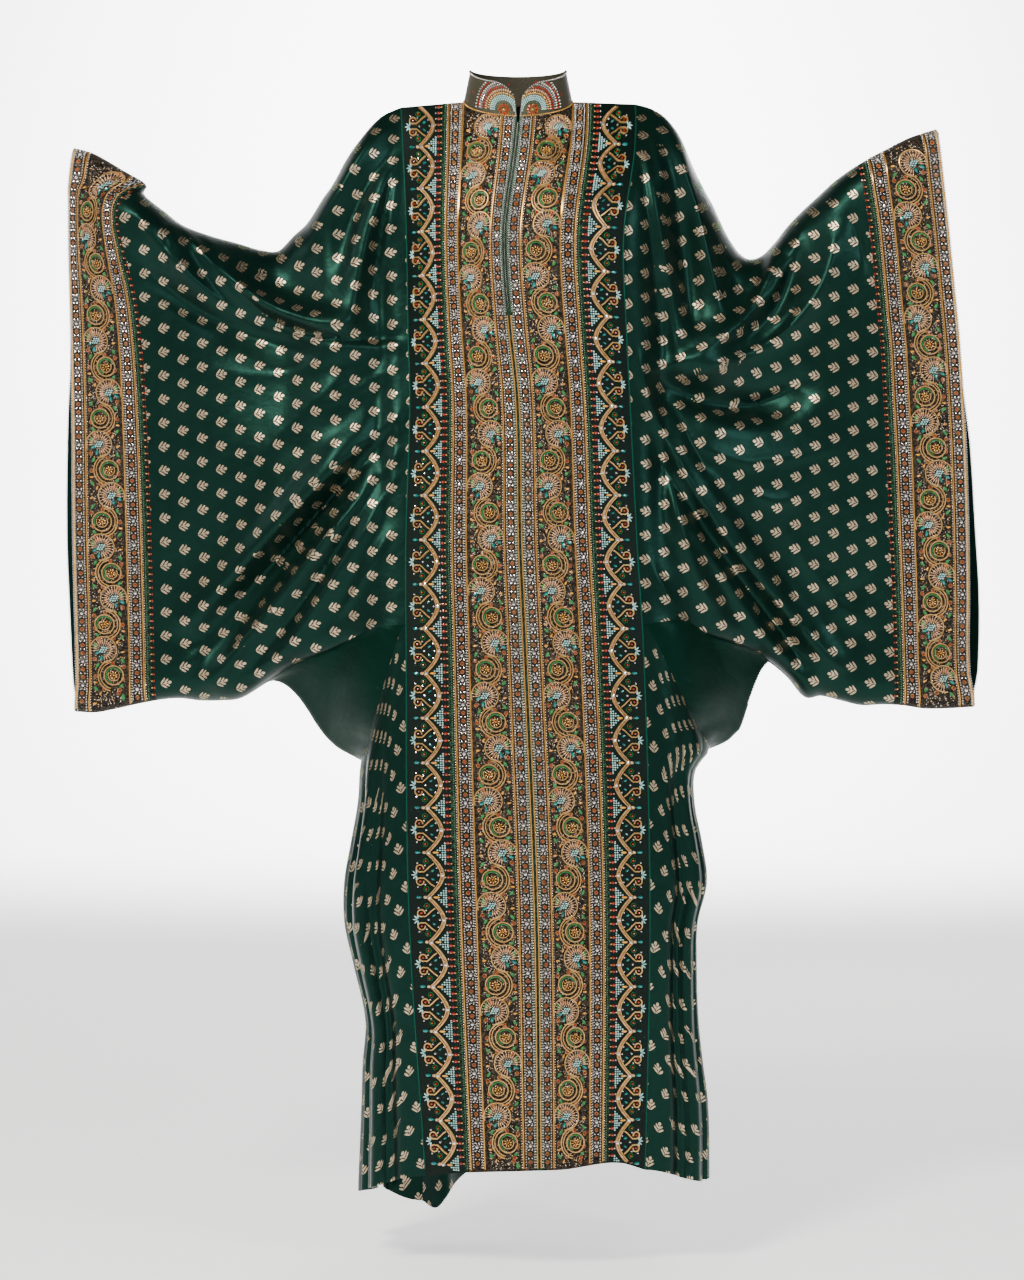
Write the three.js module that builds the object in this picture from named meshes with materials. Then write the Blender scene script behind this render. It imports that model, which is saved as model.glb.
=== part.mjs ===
// A thobe in its worn pose, with both sleeves held out: a hollow robe of figured silk with an
// embroidered front strip, very deep sleeves, embroidered cuffs and a stand collar.
// Millimetres, +Z up, the front faces -Y, the robe's own right side is at -X.
// The origin is the middle of the neck, at the height where the robe rests on the shoulders.
import * as THREE from 'three';

// Driving dimensions
const WALL = 1.5;             // silk with its backing
const SEAM = 0.3;             // between two pieces that are sewn together
const APPLIED = 0.5;          // between a panel and what lies on it
const STRIP_HALF = 152;       // half of the front strip's cut width
const NECK_HALF_WIDTH = 70;
const NECK_HALF_DEPTH = 62;
const NECK_BACKWARD = -5;     // where the shoulder seams lie, front to back
const NECK_DROP_FRONT = 29;
const NECK_RISE_BACK = 5;
const NECK_POINT_HEIGHT = 3;
const SHOULDER_ROUND = 170;   // over this height the front rounds down from the shoulder
const BACK_ROUND = 120;
const ARMHOLE_BOTTOM = -675;  // where the sleeve ends on the strip's edge
const SLIT_HALF = 1.5;
const SLIT_ROWS = 8;
const CORD_RELIEF = 1.2;
const BAND_RELIEF = 0.8;
const FLOWER_RELIEF = 2.2;
const SCALLOP_PERIODS = 22;
const SCALLOP_WALL = 1.6;
const SCALLOP_CLEAR = 0.9;    // the border bridges the strip's facets
const TAPE_WALL = 1.0;
const FACING_WALL = 1.0;
const TAPE_HALF = 10;
const COLLAR_FRONT = 46;      // height of the collar at its front tips
const COLLAR_BACK = 38;
const COLLAR_TIP_ROUND = 34;  // how far from the middle its front tips are rounded off
const COLLAR_LEAN = 9;        // how far its top leans in
const COLLAR_GAP = 4;         // how far its tips part at the top
const COLLAR_TIP_LOSS = 0.65; // share of the height that the rounding takes at the tips
const COLLAR_LEAN_DEPTH = 0.7; // its lean front to back, as a share of that from side to side
const CUFF_EDGE_MEET = 0.06;  // share of the height over which the cuff's two edges meet
const NECK_POINT_PLACE = 71;  // the neck point's place across the strip and the back panel
const HANG_LENGTH = 725;      // from the armhole's bottom down, over which the hanging folds grow
const GORE_FOLD_LEAD = 100;   // a gore's folds start this far above its highest middle point
const GORE_FOLD_GROWTH = 260; // and are full after this height
const GORE_SQUARE = 0.55;     // under 1, a gore goes out sideways from its seams before it turns
const FOLD_STEPS = 6;         // straight steps of a fold's line
const FOLD_END = 0.06;        // how much of a fold's height is left at its ends

// Grid sizes
const UPPER_ROWS = 20;        // front strip, shoulder to armhole bottom
const LOWER_ROWS = 20;        // front strip, armhole bottom to hem
const BACK_UPPER_ROWS = 12;
const GORE_ROWS = 10;
const GUSSET_CELLS = 12;      // a gore has as many columns in front and behind
const FREE_CELLS = 4;         // sleeve columns past the gusset
const COLLAR_ROWS = 4;

// The body under the arms, one row for each level: where its middle lies, the half width
// seen from the front, how far the strip stands forward, how far its edges are set back,
// its turn to its right side, where the strip's centre line lies, and the back's depth.
const BODY = [
  { z: 10, middle: 4, half: 151, front: 118, setBack: 50, turn: 12, lean: -0.07, back: 92, backSet: 30 },
  { z: -60, middle: 1, half: 147, front: 123, setBack: 52, turn: 20, lean: -0.065, back: 98, backSet: 32 },
  { z: -190, middle: -5, half: 138, front: 133, setBack: 54, turn: 27, lean: -0.092, back: 99, backSet: 34 },
  { z: -300, middle: -2, half: 139, front: 130, setBack: 51, turn: 20, lean: -0.06, back: 96, backSet: 35 },
  { z: -385, middle: 1.5, half: 140, front: 127, setBack: 46, turn: 10, lean: -0.023, back: 95, backSet: 35 },
  { z: -580, middle: 4, half: 147, front: 128, setBack: 30, turn: 3, lean: -0.01, back: 112, backSet: 34 },
  { z: -700, middle: 8, half: 150, front: 132, setBack: 22, turn: 0, lean: 0, back: 121, backSet: 34 },
  { z: -1035, middle: 14, half: 152, front: 139, setBack: 14, turn: 0, lean: 0.055, back: 160, backSet: 45 },
  { z: -1400, middle: 22, half: 138, front: 149, setBack: 50, turn: 0, lean: 0.036, back: 200, backSet: 60 },
];
const BACK_HALF = [
  { z: 0, half: 151 },
  { z: -385, half: 140 },
  { z: -700, half: 150 },
  { z: -1400, half: 150 },
];
// The strip's hem and the back panel's hem, across each from right edge (-1) to left edge (1)
const FRONT_HEM = [
  { across: -1, z: -1375 },
  { across: -0.7, z: -1367 },
  { across: -0.1, z: -1361 },
  { across: 0.2, z: -1360 },
  { across: 0.75, z: -1355 },
  { across: 1, z: -1367 },
];
const BACK_HEM = [
  { across: -1, z: -1448 },
  { across: -0.88, z: -1460 },
  { across: -0.7, z: -1428 },
  { across: -0.45, z: -1408 },
  { across: 0.3, z: -1402 },
  { across: 1, z: -1402 },
];

// Columns of the strip, by their place across its cut, and how high each stands
const STRIP_COLUMNS = [
  { across: SLIT_HALF, relief: CORD_RELIEF },
  { across: 21, relief: CORD_RELIEF },
  { across: 27, relief: 0.4 },
  { across: 37, relief: BAND_RELIEF, flower: 0 },
  { across: 53, relief: BAND_RELIEF, flower: 1 },
  { across: 64, relief: 0.4 },
  { across: 71, relief: CORD_RELIEF },
  { across: 90, relief: CORD_RELIEF },
  { across: 100, relief: BAND_RELIEF },
  { across: 126, relief: BAND_RELIEF },
  { across: STRIP_HALF, relief: 0 },
];
const BACK_COLUMNS = [0, 24, 48, 71, 90, 100, 126, STRIP_HALF];
const PLAIN_COLUMNS = [SLIT_HALF, 21, 71, 100, STRIP_HALF];   // kept on the strip's plain inside

// Columns of a cuff band, from its seam (0) to its free edge (1), and how high each stands
const CUFF_COLUMNS = [
  { across: 0, relief: 0 },
  { across: 0.08, relief: CORD_RELIEF },
  { across: 0.27, relief: CORD_RELIEF },
  { across: 0.34, relief: 0.4 },
  { across: 0.52, relief: BAND_RELIEF, flower: true },
  { across: 0.7, relief: 0.4 },
  { across: 0.77, relief: CORD_RELIEF },
  { across: 1, relief: CORD_RELIEF },
];
const CUFF_PLAIN = [0, 2, 6, 7];   // the columns that the band's plain inside keeps
const FACING_START = 2;            // the cuff column where the facing begins

// One repeat of the scalloped border's outer edge, across the strip from its middle
const SCALLOP = [
  { repeat: 0, across: 131 },
  { repeat: 0.28, across: 139 },
  { repeat: 0.5, across: 147 },
  { repeat: 0.72, across: 139 },
];
const SCALLOP_INNER = 127;

// Two sleeves. Outlines as the front view shows them: distance from the middle, height.
const SLEEVES = {
  right: {
    sign: -1,
    shoulder: { z: -4 },
    top: [
      { x: 147, z: -4 }, { x: 173, z: -17 }, { x: 199, z: -42 }, { x: 225, z: -75 },
      { x: 247, z: -113 }, { x: 268, z: -150 }, { x: 286, z: -168 }, { x: 304, z: -187 },
      { x: 322, z: -187 }, { x: 348, z: -179 }, { x: 381, z: -169 }, { x: 407, z: -157 },
      { x: 426, z: -140 }, { x: 452, z: -122 }, { x: 478, z: -107 }, { x: 504, z: -94 },
      { x: 530, z: -78 }, { x: 547, z: -69 }, { x: 570, z: -63 },
    ],
    bottom: [
      { x: 150, z: -675 }, { x: 185, z: -679 }, { x: 242, z: -706 }, { x: 281, z: -721 },
      { x: 322, z: -744 }, { x: 361, z: -770 }, { x: 387, z: -773 }, { x: 413, z: -773 },
      { x: 439, z: -770 }, { x: 465, z: -772 }, { x: 491, z: -777 }, { x: 517, z: -783 },
      { x: 543, z: -788 }, { x: 569, z: -787 },
    ],
    cuff: [
      { z: -64, seam: 467, edge: 569, backEdge: 570 },
      { z: -107, seam: 470, edge: 574, backEdge: 575 },
      { z: -119, seam: 496, edge: 575, backEdge: 576 },
      { z: -133, seam: 508, edge: 575, backEdge: 576 },
      { z: -152, seam: 512, edge: 575, backEdge: 577 },
      { z: -200, seam: 504, edge: 575, backEdge: 577 },
      { z: -259, seam: 490, edge: 574, backEdge: 578 },
      { z: -325, seam: 482, edge: 573, backEdge: 580 },
      { z: -410, seam: 477, edge: 572, backEdge: 584 },
      { z: -562, seam: 472, edge: 572, backEdge: 585 },
      { z: -680, seam: 470, edge: 570, backEdge: 580 },
      { z: -788, seam: 468, edge: 568, backEdge: 575 },
    ],
    gussetEnd: 361,
    goreTop: { z: -851 },
    gussetSag: { x: 34, z: -28 },
  },
  left: {
    sign: 1,
    shoulder: { z: 0 },
    top: [
      { x: 155, z: 0 }, { x: 174, z: -6 }, { x: 195, z: -20 }, { x: 213, z: -43 },
      { x: 230, z: -78 }, { x: 244, z: -104 }, { x: 260, z: -133 }, { x: 273, z: -162 },
      { x: 289, z: -189 }, { x: 302, z: -198 }, { x: 317, z: -193 }, { x: 330, z: -179 },
      { x: 347, z: -156 }, { x: 367, z: -135 }, { x: 386, z: -118 }, { x: 408, z: -99 },
      { x: 432, z: -83 }, { x: 452, z: -72 }, { x: 477, z: -60 }, { x: 503, z: -48 },
      { x: 523, z: -42 }, { x: 545, z: -36 },
    ],
    bottom: [
      { x: 158, z: -675 }, { x: 217, z: -672 }, { x: 240, z: -686 }, { x: 274, z: -697 },
      { x: 316, z: -715 }, { x: 350, z: -742 }, { x: 373, z: -769 }, { x: 393, z: -767 },
      { x: 419, z: -773 }, { x: 445, z: -779 }, { x: 471, z: -778 }, { x: 497, z: -779 },
      { x: 523, z: -783 }, { x: 549, z: -783 }, { x: 594, z: -780 },
    ],
    cuff: [
      { z: -39, seam: 436, edge: 536, backEdge: 542 },
      { z: -107, seam: 442, edge: 544, backEdge: 546 },
      { z: -151, seam: 449, edge: 549, backEdge: 550 },
      { z: -218, seam: 456, edge: 556, backEdge: 556 },
      { z: -276, seam: 461, edge: 562, backEdge: 564 },
      { z: -317, seam: 465, edge: 566, backEdge: 571 },
      { z: -389, seam: 469, edge: 571, backEdge: 580 },
      { z: -438, seam: 472, edge: 574, backEdge: 586 },
      { z: -540, seam: 477, edge: 578, backEdge: 592 },
      { z: -640, seam: 482, edge: 580, backEdge: 597 },
      { z: -720, seam: 485, edge: 580, backEdge: 596 },
      { z: -784, seam: 486, edge: 584, backEdge: 592 },
    ],
    gussetEnd: 373,
    goreTop: { z: -836 },
    gussetSag: { x: 40, z: -34 },
  },
};
// How deep each layer of a sleeve lies, by its distance from the middle: the arm's middle and
// radius, the front layer halfway down and near the bottom, the same behind, and the bottom seam.
const SLEEVE_DEPTH = [
  { x: 150, arm: -5, radius: 46, mid: -62, low: -92, backMid: 78, backLow: 84, seam: 0 },
  { x: 185, arm: -3, radius: 50, mid: -56, low: -84, backMid: 80, backLow: 80, seam: 0 },
  { x: 240, arm: 8, radius: 52, mid: -72, low: -72, backMid: 80, backLow: 66, seam: 2 },
  { x: 300, arm: 24, radius: 50, mid: -64, low: -50, backMid: 76, backLow: 50, seam: 4 },
  { x: 360, arm: 14, radius: 44, mid: -54, low: -32, backMid: 58, backLow: 34, seam: 2 },
  { x: 430, arm: -10, radius: 38, mid: -50, low: -30, backMid: 34, backLow: 18, seam: -5 },
  { x: 510, arm: -34, radius: 32, mid: -52, low: -36, backMid: 8, backLow: 0, seam: -16 },
  { x: 600, arm: -48, radius: 28, mid: -56, low: -42, backMid: -8, backLow: -14, seam: -26 },
];
const LEVEL_LOW = 0.14;
const LEVEL_MID = 0.5;
const BOTTOM_ROUND = 0.045;   // share of a layer's height that turns in to the bottom seam
const SHARPEST_CORNER = 0.12;
const SAG_OUT_POWER = 1.2;    // how the gusset's sag gathers along its fold
const SAG_DOWN_POWER = 2.5;
const SEAM_REACH = 0.3;       // share of the sleeve over which the seam's depth fades out

// How far up each ring of the sleeve lies, from the top of the arm down
const FRONT_LEVELS = [
  1, 0.992, 0.97, 0.938, 0.89, 0.84, 0.79, 0.73, 0.67, 0.61, 0.55,
  0.49, 0.43, 0.37, 0.31, 0.25, 0.185, 0.12, 0.06, 0.018, 0,
];
const BACK_LEVELS = [1, 0.985, 0.94, 0.87, 0.78, 0.69, 0.59, 0.49, 0.39, 0.28, 0.15, 0.04, 0];

// The largest folds, each a soft ridge (height over 0) or trough through three places
// of the front view, and its width across. Heights stand forward on the front layer
// and backward on the back layer.
const FOLDS = {
  right: {
    front: [
      { x0: 164, z0: -20, x1: 222, z1: -88, x2: 268, z2: -170, width: 20, height: 9 },
      { x0: 160, z0: -60, x1: 195, z1: -165, x2: 217, z2: -285, width: 16, height: 12 },
      { x0: 158, z0: -50, x1: 209, z1: -136, x2: 228, z2: -215, width: 14, height: -10 },
      { x0: 172, z0: -170, x1: 172, z1: -270, x2: 166, z2: -330, width: 15, height: -30 },
      { x0: 418, z0: -160, x1: 342, z1: -255, x2: 210, z2: -300, width: 22, height: 12 },
      { x0: 470, z0: -150, x1: 360, z1: -262, x2: 150, z2: -312, width: 30, height: 20 },
      { x0: 425, z0: -175, x1: 330, z1: -288, x2: 160, z2: -300, width: 15, height: -18 },
      { x0: 480, z0: -230, x1: 400, z1: -280, x2: 290, z2: -325, width: 24, height: -12 },
      { x0: 150, z0: -385, x1: 260, z1: -490, x2: 425, z2: -670, width: 20, height: 16 },
      { x0: 165, z0: -430, x1: 280, z1: -560, x2: 400, z2: -700, width: 17, height: -15 },
      { x0: 160, z0: -450, x1: 262, z1: -590, x2: 395, z2: -745, width: 18, height: 15 },
      { x0: 165, z0: -500, x1: 235, z1: -620, x2: 320, z2: -735, width: 16, height: 10 },
      { x0: 168, z0: -330, x1: 172, z1: -440, x2: 160, z2: -560, width: 16, height: -24 },
    ],
    back: [
      { x0: 165, z0: -30, x1: 225, z1: -120, x2: 262, z2: -250, width: 24, height: 10 },
      { x0: 175, z0: -120, x1: 195, z1: -260, x2: 200, z2: -400, width: 22, height: -12 },
      { x0: 440, z0: -190, x1: 330, z1: -330, x2: 170, z2: -380, width: 34, height: 16 },
      { x0: 160, z0: -430, x1: 280, z1: -560, x2: 430, z2: -700, width: 26, height: 15 },
      { x0: 170, z0: -520, x1: 260, z1: -640, x2: 350, z2: -745, width: 22, height: -10 },
    ],
  },
  left: {
    front: [
      { x0: 164, z0: -55, x1: 190, z1: -190, x2: 204, z2: -318, width: 16, height: 12 },
      { x0: 205, z0: -45, x1: 236, z1: -170, x2: 262, z2: -268, width: 18, height: 10 },
      { x0: 182, z0: -60, x1: 212, z1: -190, x2: 226, z2: -290, width: 14, height: -10 },
      { x0: 333, z0: -190, x1: 290, z1: -290, x2: 168, z2: -345, width: 26, height: 20 },
      { x0: 410, z0: -150, x1: 350, z1: -285, x2: 190, z2: -352, width: 26, height: 14 },
      { x0: 350, z0: -180, x1: 320, z1: -285, x2: 200, z2: -330, width: 14, height: -14 },
      { x0: 172, z0: -362, x1: 290, z1: -392, x2: 362, z2: -370, width: 22, height: -20 },
      { x0: 156, z0: -350, x1: 235, z1: -510, x2: 400, z2: -720, width: 20, height: 18 },
      { x0: 200, z0: -470, x1: 290, z1: -610, x2: 370, z2: -720, width: 16, height: -14 },
      { x0: 196, z0: -480, x1: 222, z1: -580, x2: 262, z2: -680, width: 18, height: 13 },
      { x0: 245, z0: -560, x1: 300, z1: -650, x2: 345, z2: -735, width: 15, height: 9 },
      { x0: 176, z0: -240, x1: 178, z1: -420, x2: 172, z2: -600, width: 17, height: -28 },
    ],
    back: [
      { x0: 180, z0: -40, x1: 215, z1: -150, x2: 240, z2: -280, width: 24, height: 10 },
      { x0: 178, z0: -130, x1: 195, z1: -280, x2: 190, z2: -420, width: 22, height: -12 },
      { x0: 430, z0: -150, x1: 340, z1: -300, x2: 180, z2: -390, width: 34, height: 16 },
      { x0: 165, z0: -420, x1: 270, z1: -570, x2: 420, z2: -710, width: 26, height: 15 },
      { x0: 180, z0: -520, x1: 255, z1: -640, x2: 330, z2: -735, width: 22, height: -10 },
    ],
  },
};

// The side gores' outline from the front, and the hem round each gore from the strip (0)
// to the back panel (1).
const GORE_OUTLINE = [
  { z: -675, right: 176, left: 200 },
  { z: -790, right: 192, left: 232 },
  { z: -836, right: 198, left: 244 },
  { z: -860, right: 201, left: 226 },
  { z: -903, right: 202, left: 222 },
  { z: -955, right: 209, left: 230 },
  { z: -1007, right: 217, left: 236 },
  { z: -1059, right: 217, left: 224 },
  { z: -1111, right: 206, left: 223 },
  { z: -1189, right: 190, left: 226 },
  { z: -1241, right: 194, left: 232 },
  { z: -1293, right: 196, left: 239 },
  { z: -1400, right: 201, left: 242 },
];
const GORE_HEM = {
  right: [
    { round: 0, z: -1375 },
    { round: 0.25, z: -1396 },
    { round: 0.5, z: -1414 },
    { round: 0.75, z: -1416 },
    { round: 0.9, z: -1434 },
    { round: 1, z: -1448 },
  ],
  left: [
    { round: 0, z: -1367 },
    { round: 0.12, z: -1379 },
    { round: 0.5, z: -1395 },
    { round: 1, z: -1402 },
  ],
};
// Hanging folds of a gore: where round it, its width there, and how far it stands at the hem
const GORE_FOLDS = {
  right: [
    { round: 0.09, width: 0.035, height: -10 },
    { round: 0.19, width: 0.05, height: 13 },
    { round: 0.31, width: 0.04, height: -13 },
    { round: 0.43, width: 0.05, height: 8 },
    { round: 0.57, width: 0.04, height: -13 },
    { round: 0.68, width: 0.05, height: 14 },
    { round: 0.8, width: 0.04, height: -13 },
    { round: 0.91, width: 0.035, height: 12 },
  ],
  left: [
    { round: 0.1, width: 0.035, height: -11 },
    { round: 0.2, width: 0.045, height: 14 },
    { round: 0.3, width: 0.035, height: -13 },
    { round: 0.42, width: 0.05, height: 8 },
    { round: 0.56, width: 0.04, height: -12 },
    { round: 0.69, width: 0.05, height: 13 },
    { round: 0.81, width: 0.04, height: -14 },
    { round: 0.91, width: 0.035, height: 11 },
  ],
};
const BACK_FOLDS = [
  { across: -0.62, width: 0.13, height: 16 },
  { across: -0.3, width: 0.11, height: -12 },
  { across: 0.05, width: 0.14, height: 15 },
  { across: 0.4, width: 0.12, height: -13 },
  { across: 0.72, width: 0.1, height: 12 },
];

// Simple mathematics

function mix(a, b, share) {
  return a + (b - a) * share;
}

function clamp01(value) {
  return Math.min(Math.max(value, 0), 1);
}

function smooth(share) {
  const t = clamp01(share);
  return t * t * (3 - 2 * t);
}

function easeOut(share) {
  const left = 1 - clamp01(share);
  return 1 - left * left;
}

function quarterRound(share) {
  const left = 1 - clamp01(share);
  return Math.sqrt(1 - left * left);
}

// One column of a table at any key, on a smooth cubic through the rows and level past the ends
function readTable(rows, key, column, at) {
  const last = rows.length - 1;
  const rising = Math.sign(rows[last][key] - rows[0][key]);
  if ((at - rows[0][key]) * rising <= 0) return rows[0][column];
  if ((at - rows[last][key]) * rising >= 0) return rows[last][column];
  let i = 0;
  while ((rows[i + 1][key] - at) * rising < 0) i += 1;
  const slope = (a) => (rows[a + 1][column] - rows[a][column]) / (rows[a + 1][key] - rows[a][key]);
  const span = rows[i + 1][key] - rows[i][key];
  const here = slope(i);
  const start = i > 0 ? (slope(i - 1) + here) / 2 : here;
  const end = i + 2 <= last ? (here + slope(i + 1)) / 2 : here;
  const t = (at - rows[i][key]) / span;
  const back = 1 - t;
  return rows[i][column] * back * back * (1 + 2 * t)
    + rows[i + 1][column] * t * t * (3 - 2 * t)
    + span * (start * t * back * back - end * t * t * back);
}

function bell(offset) {
  return Math.exp(-offset * offset);
}

// A point of a fold's line, which bends through its three places; t runs from 0 to 1
function foldLine(fold, t) {
  const early = (1 - t) * (1 - 2 * t);
  const middle = 4 * t * (1 - t);
  const late = t * (2 * t - 1);
  return {
    x: fold.x0 * early + fold.x1 * middle + fold.x2 * late,
    z: fold.z0 * early + fold.z1 * middle + fold.z2 * late,
  };
}

// The height that a set of folds adds at one place of the front view
function foldHeight(folds, x, z) {
  let total = 0;
  for (const fold of folds) {
    let nearest = Infinity;
    let share = 0;
    for (let k = 0; k < FOLD_STEPS; k += 1) {
      const from = foldLine(fold, k / FOLD_STEPS);
      const to = foldLine(fold, (k + 1) / FOLD_STEPS);
      const [dx, dz] = [to.x - from.x, to.z - from.z];
      const t = clamp01(((x - from.x) * dx + (z - from.z) * dz) / (dx * dx + dz * dz));
      const distance = Math.hypot(x - from.x - t * dx, z - from.z - t * dz);
      if (distance < nearest) {
        nearest = distance;
        share = (k + t) / FOLD_STEPS;
      }
    }
    const fade = Math.sqrt(Math.sin(Math.PI * mix(FOLD_END, 1 - FOLD_END, share)));
    total += fold.height * fade * bell(nearest / fold.width);
  }
  return total;
}

// The robe's body

function signedColumns(places, withMiddle) {
  const right = places.map((place) => -place).reverse();
  return withMiddle ? [...right.slice(0, -1), ...places] : [...right, ...places];
}

const STRIP_PLACES = signedColumns(STRIP_COLUMNS.map((column) => column.across), false);
const BACK_PLACES = signedColumns(BACK_COLUMNS, true);

// Neck edge or shoulder line at a place from the middle (-1) or (1) at the strip's edges
function topEdge(x, share, front) {
  const sideways = Math.abs(x) / NECK_HALF_WIDTH;
  if (sideways < 1) {
    const depth = Math.sqrt(1 - sideways * sideways);
    const away = front ? -depth : depth;
    const rise = front ? -NECK_DROP_FRONT * depth : NECK_RISE_BACK * depth;
    return { y: NECK_BACKWARD + NECK_HALF_DEPTH * away, z: NECK_POINT_HEIGHT + rise };
  }
  const shoulder = share < 0 ? SLEEVES.right.shoulder.z : SLEEVES.left.shoulder.z;
  const along = (Math.abs(x) - NECK_HALF_WIDTH) / (STRIP_HALF - NECK_HALF_WIDTH);
  return { y: NECK_BACKWARD, z: mix(NECK_POINT_HEIGHT, shoulder, clamp01(along)) };
}

// The strip's share across the body for a place across its cut, moved by the body's turn
function bodyShare(place, z) {
  const lean = readTable(BODY, 'z', 'lean', z);
  const side = place / STRIP_HALF;
  return side < 0 ? lean + side * (1 + lean) : lean + side * (1 - lean);
}

function frontDepth(share, z) {
  const forward = readTable(BODY, 'z', 'front', z);
  const setBack = readTable(BODY, 'z', 'setBack', z);
  const turn = readTable(BODY, 'z', 'turn', z);
  return -forward + setBack * share * share - turn * share;
}

function backDepth(share, z) {
  const back = readTable(BODY, 'z', 'back', z);
  const setForward = readTable(BODY, 'z', 'backSet', z);
  const opened = smooth((ARMHOLE_BOTTOM - z) / HANG_LENGTH);
  let folds = 0;
  for (const fold of BACK_FOLDS) {
    folds += fold.height * bell((share - fold.across) / fold.width);
  }
  const edgeFade = 1 - share ** 8;
  return back - setForward * share * share + folds * opened * edgeFade;
}

// Height of a row: the rows above the armhole's bottom share its height, the rest the skirt's
function rowHeight(row, upperRows, lowerRows, top, hem) {
  if (row <= upperRows) return mix(top, ARMHOLE_BOTTOM, row / upperRows);
  return mix(ARMHOLE_BOTTOM, hem, (row - upperRows) / lowerRows);
}

// A point of the front strip or the back panel: a place across its cut and a row down it
function bodyPoint(place, row, front) {
  const cutShare = place / STRIP_HALF;
  const topX = Math.abs(place) < NECK_POINT_PLACE ? place * (NECK_HALF_WIDTH / NECK_POINT_PLACE) : place;
  const edge = topEdge(topX, cutShare, front);
  const hem = readTable(front ? FRONT_HEM : BACK_HEM, 'across', 'z', cutShare);
  const rowsAbove = front ? UPPER_ROWS : BACK_UPPER_ROWS;
  const rowsBelow = front ? LOWER_ROWS : GORE_ROWS;
  const z = rowHeight(row, rowsAbove, rowsBelow, edge.z, hem);
  const share = front ? bodyShare(place, z) : cutShare;
  const half = readTable(front ? BODY : BACK_HALF, 'z', 'half', z);
  const settled = easeOut((edge.z - z) / (front ? SHOULDER_ROUND : BACK_ROUND));
  const x = mix(topX, readTable(BODY, 'z', 'middle', z) + half * share, settled);
  const y = mix(edge.y, front ? frontDepth(share, z) : backDepth(share, z), settled);
  return new THREE.Vector3(x, y, z);
}

// A sleeve

function seamDepth(side, z, front) {
  const below = (side.shoulder.z - z) / (front ? SHOULDER_ROUND : BACK_ROUND);
  const body = front ? frontDepth(side.sign, z) : backDepth(side.sign, z);
  return mix(NECK_BACKWARD, body, easeOut(below));
}

function seamWidth(side, z, front) {
  const half = readTable(front ? BODY : BACK_HALF, 'z', 'half', z);
  return half + side.sign * readTable(BODY, 'z', 'middle', z);
}

// How deep one layer of a sleeve or cuff lies at a place of the front view. along is 0 at the
// strip's seam and 1 at the cuff's; level is 0 at the bottom seam and 1 on top of the arm.
function layerDepth(side, place) {
  const { x, z, level, height, along, front } = place;
  const away = front ? -1 : 1;
  const depth = (column) => readTable(SLEEVE_DEPTH, 'x', column, x);
  const arm = depth('arm');
  const armLevel = 1 - depth('radius') / height;
  const levels = [
    { level: LEVEL_LOW, y: depth(front ? 'low' : 'backLow') },
    { level: LEVEL_MID, y: depth(front ? 'mid' : 'backMid') },
    { level: armLevel, y: arm + away * depth('radius') },
  ];
  const folds = side.folds[front ? 'front' : 'back'];
  const free = readTable(levels, 'level', 'y', level) + away * foldHeight(folds, x, z);
  const over = clamp01((level - armLevel) / (1 - armLevel));
  const capped = mix(arm, free, Math.sqrt(1 - over * over));
  const gussetShare = clamp01(along / side.gussetAlong);
  const cornerDepth = seamDepth(side, ARMHOLE_BOTTOM, front);
  const bottom = mix(cornerDepth, depth('seam'), gussetShare);
  const hung = mix(bottom, capped, quarterRound(level / BOTTOM_ROUND));
  return mix(seamDepth(side, z, front), hung, smooth(along / SEAM_REACH));
}

function sleevePoint(side, along, level, front) {
  const gusset = side.gussetAlong;
  const cuffTop = side.cuff[0].seam;
  const cuffBottom = side.cuff[side.cuff.length - 1].seam;
  const lowX = along <= gusset
    ? mix(side.bottom[0].x, side.gussetEnd, along / gusset)
    : mix(side.gussetEnd, cuffBottom, (along - gusset) / (1 - gusset));
  const topX = mix(side.top[0].x, cuffTop, along);
  const topZ = readTable(side.top, 'x', 'z', topX);
  const lowZ = readTable(side.bottom, 'x', 'z', lowX);
  const z = mix(lowZ, topZ, level);
  const cuffBend = readTable(side.cuff, 'z', 'seam', z) - mix(cuffBottom, cuffTop, level);
  const seamBend = seamWidth(side, z, front) - mix(side.bottom[0].x, side.top[0].x, level);
  const x = mix(lowX, topX, level) + along ** 2 * cuffBend + (1 - along) ** 2 * seamBend;
  const y = layerDepth(side, { x, z, level, height: topZ - lowZ, along, front });
  return new THREE.Vector3(side.sign * x, y, z);
}

// A point of the cuff band, across from its seam (0) to its free edge (1)
function cuffPoint(side, across, level, front) {
  const last = side.cuff.length - 1;
  const topZ = readTable(side.top, 'x', 'z', mix(side.cuff[0].seam, side.cuff[0].edge, across));
  const lowX = mix(side.cuff[last].seam, side.cuff[last].edge, across);
  const lowZ = readTable(side.bottom, 'x', 'z', lowX);
  const z = mix(lowZ, topZ, level);
  const own = readTable(side.cuff, 'z', front ? 'edge' : 'backEdge', z);
  const other = readTable(side.cuff, 'z', front ? 'backEdge' : 'edge', z);
  const edge = mix((own + other) / 2, own, smooth(level / CUFF_EDGE_MEET));
  const x = mix(readTable(side.cuff, 'z', 'seam', z), edge, across);
  const y = layerDepth(side, { x, z, level, height: topZ - lowZ, along: 1, front });
  return new THREE.Vector3(side.sign * x, y, z);
}

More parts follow.
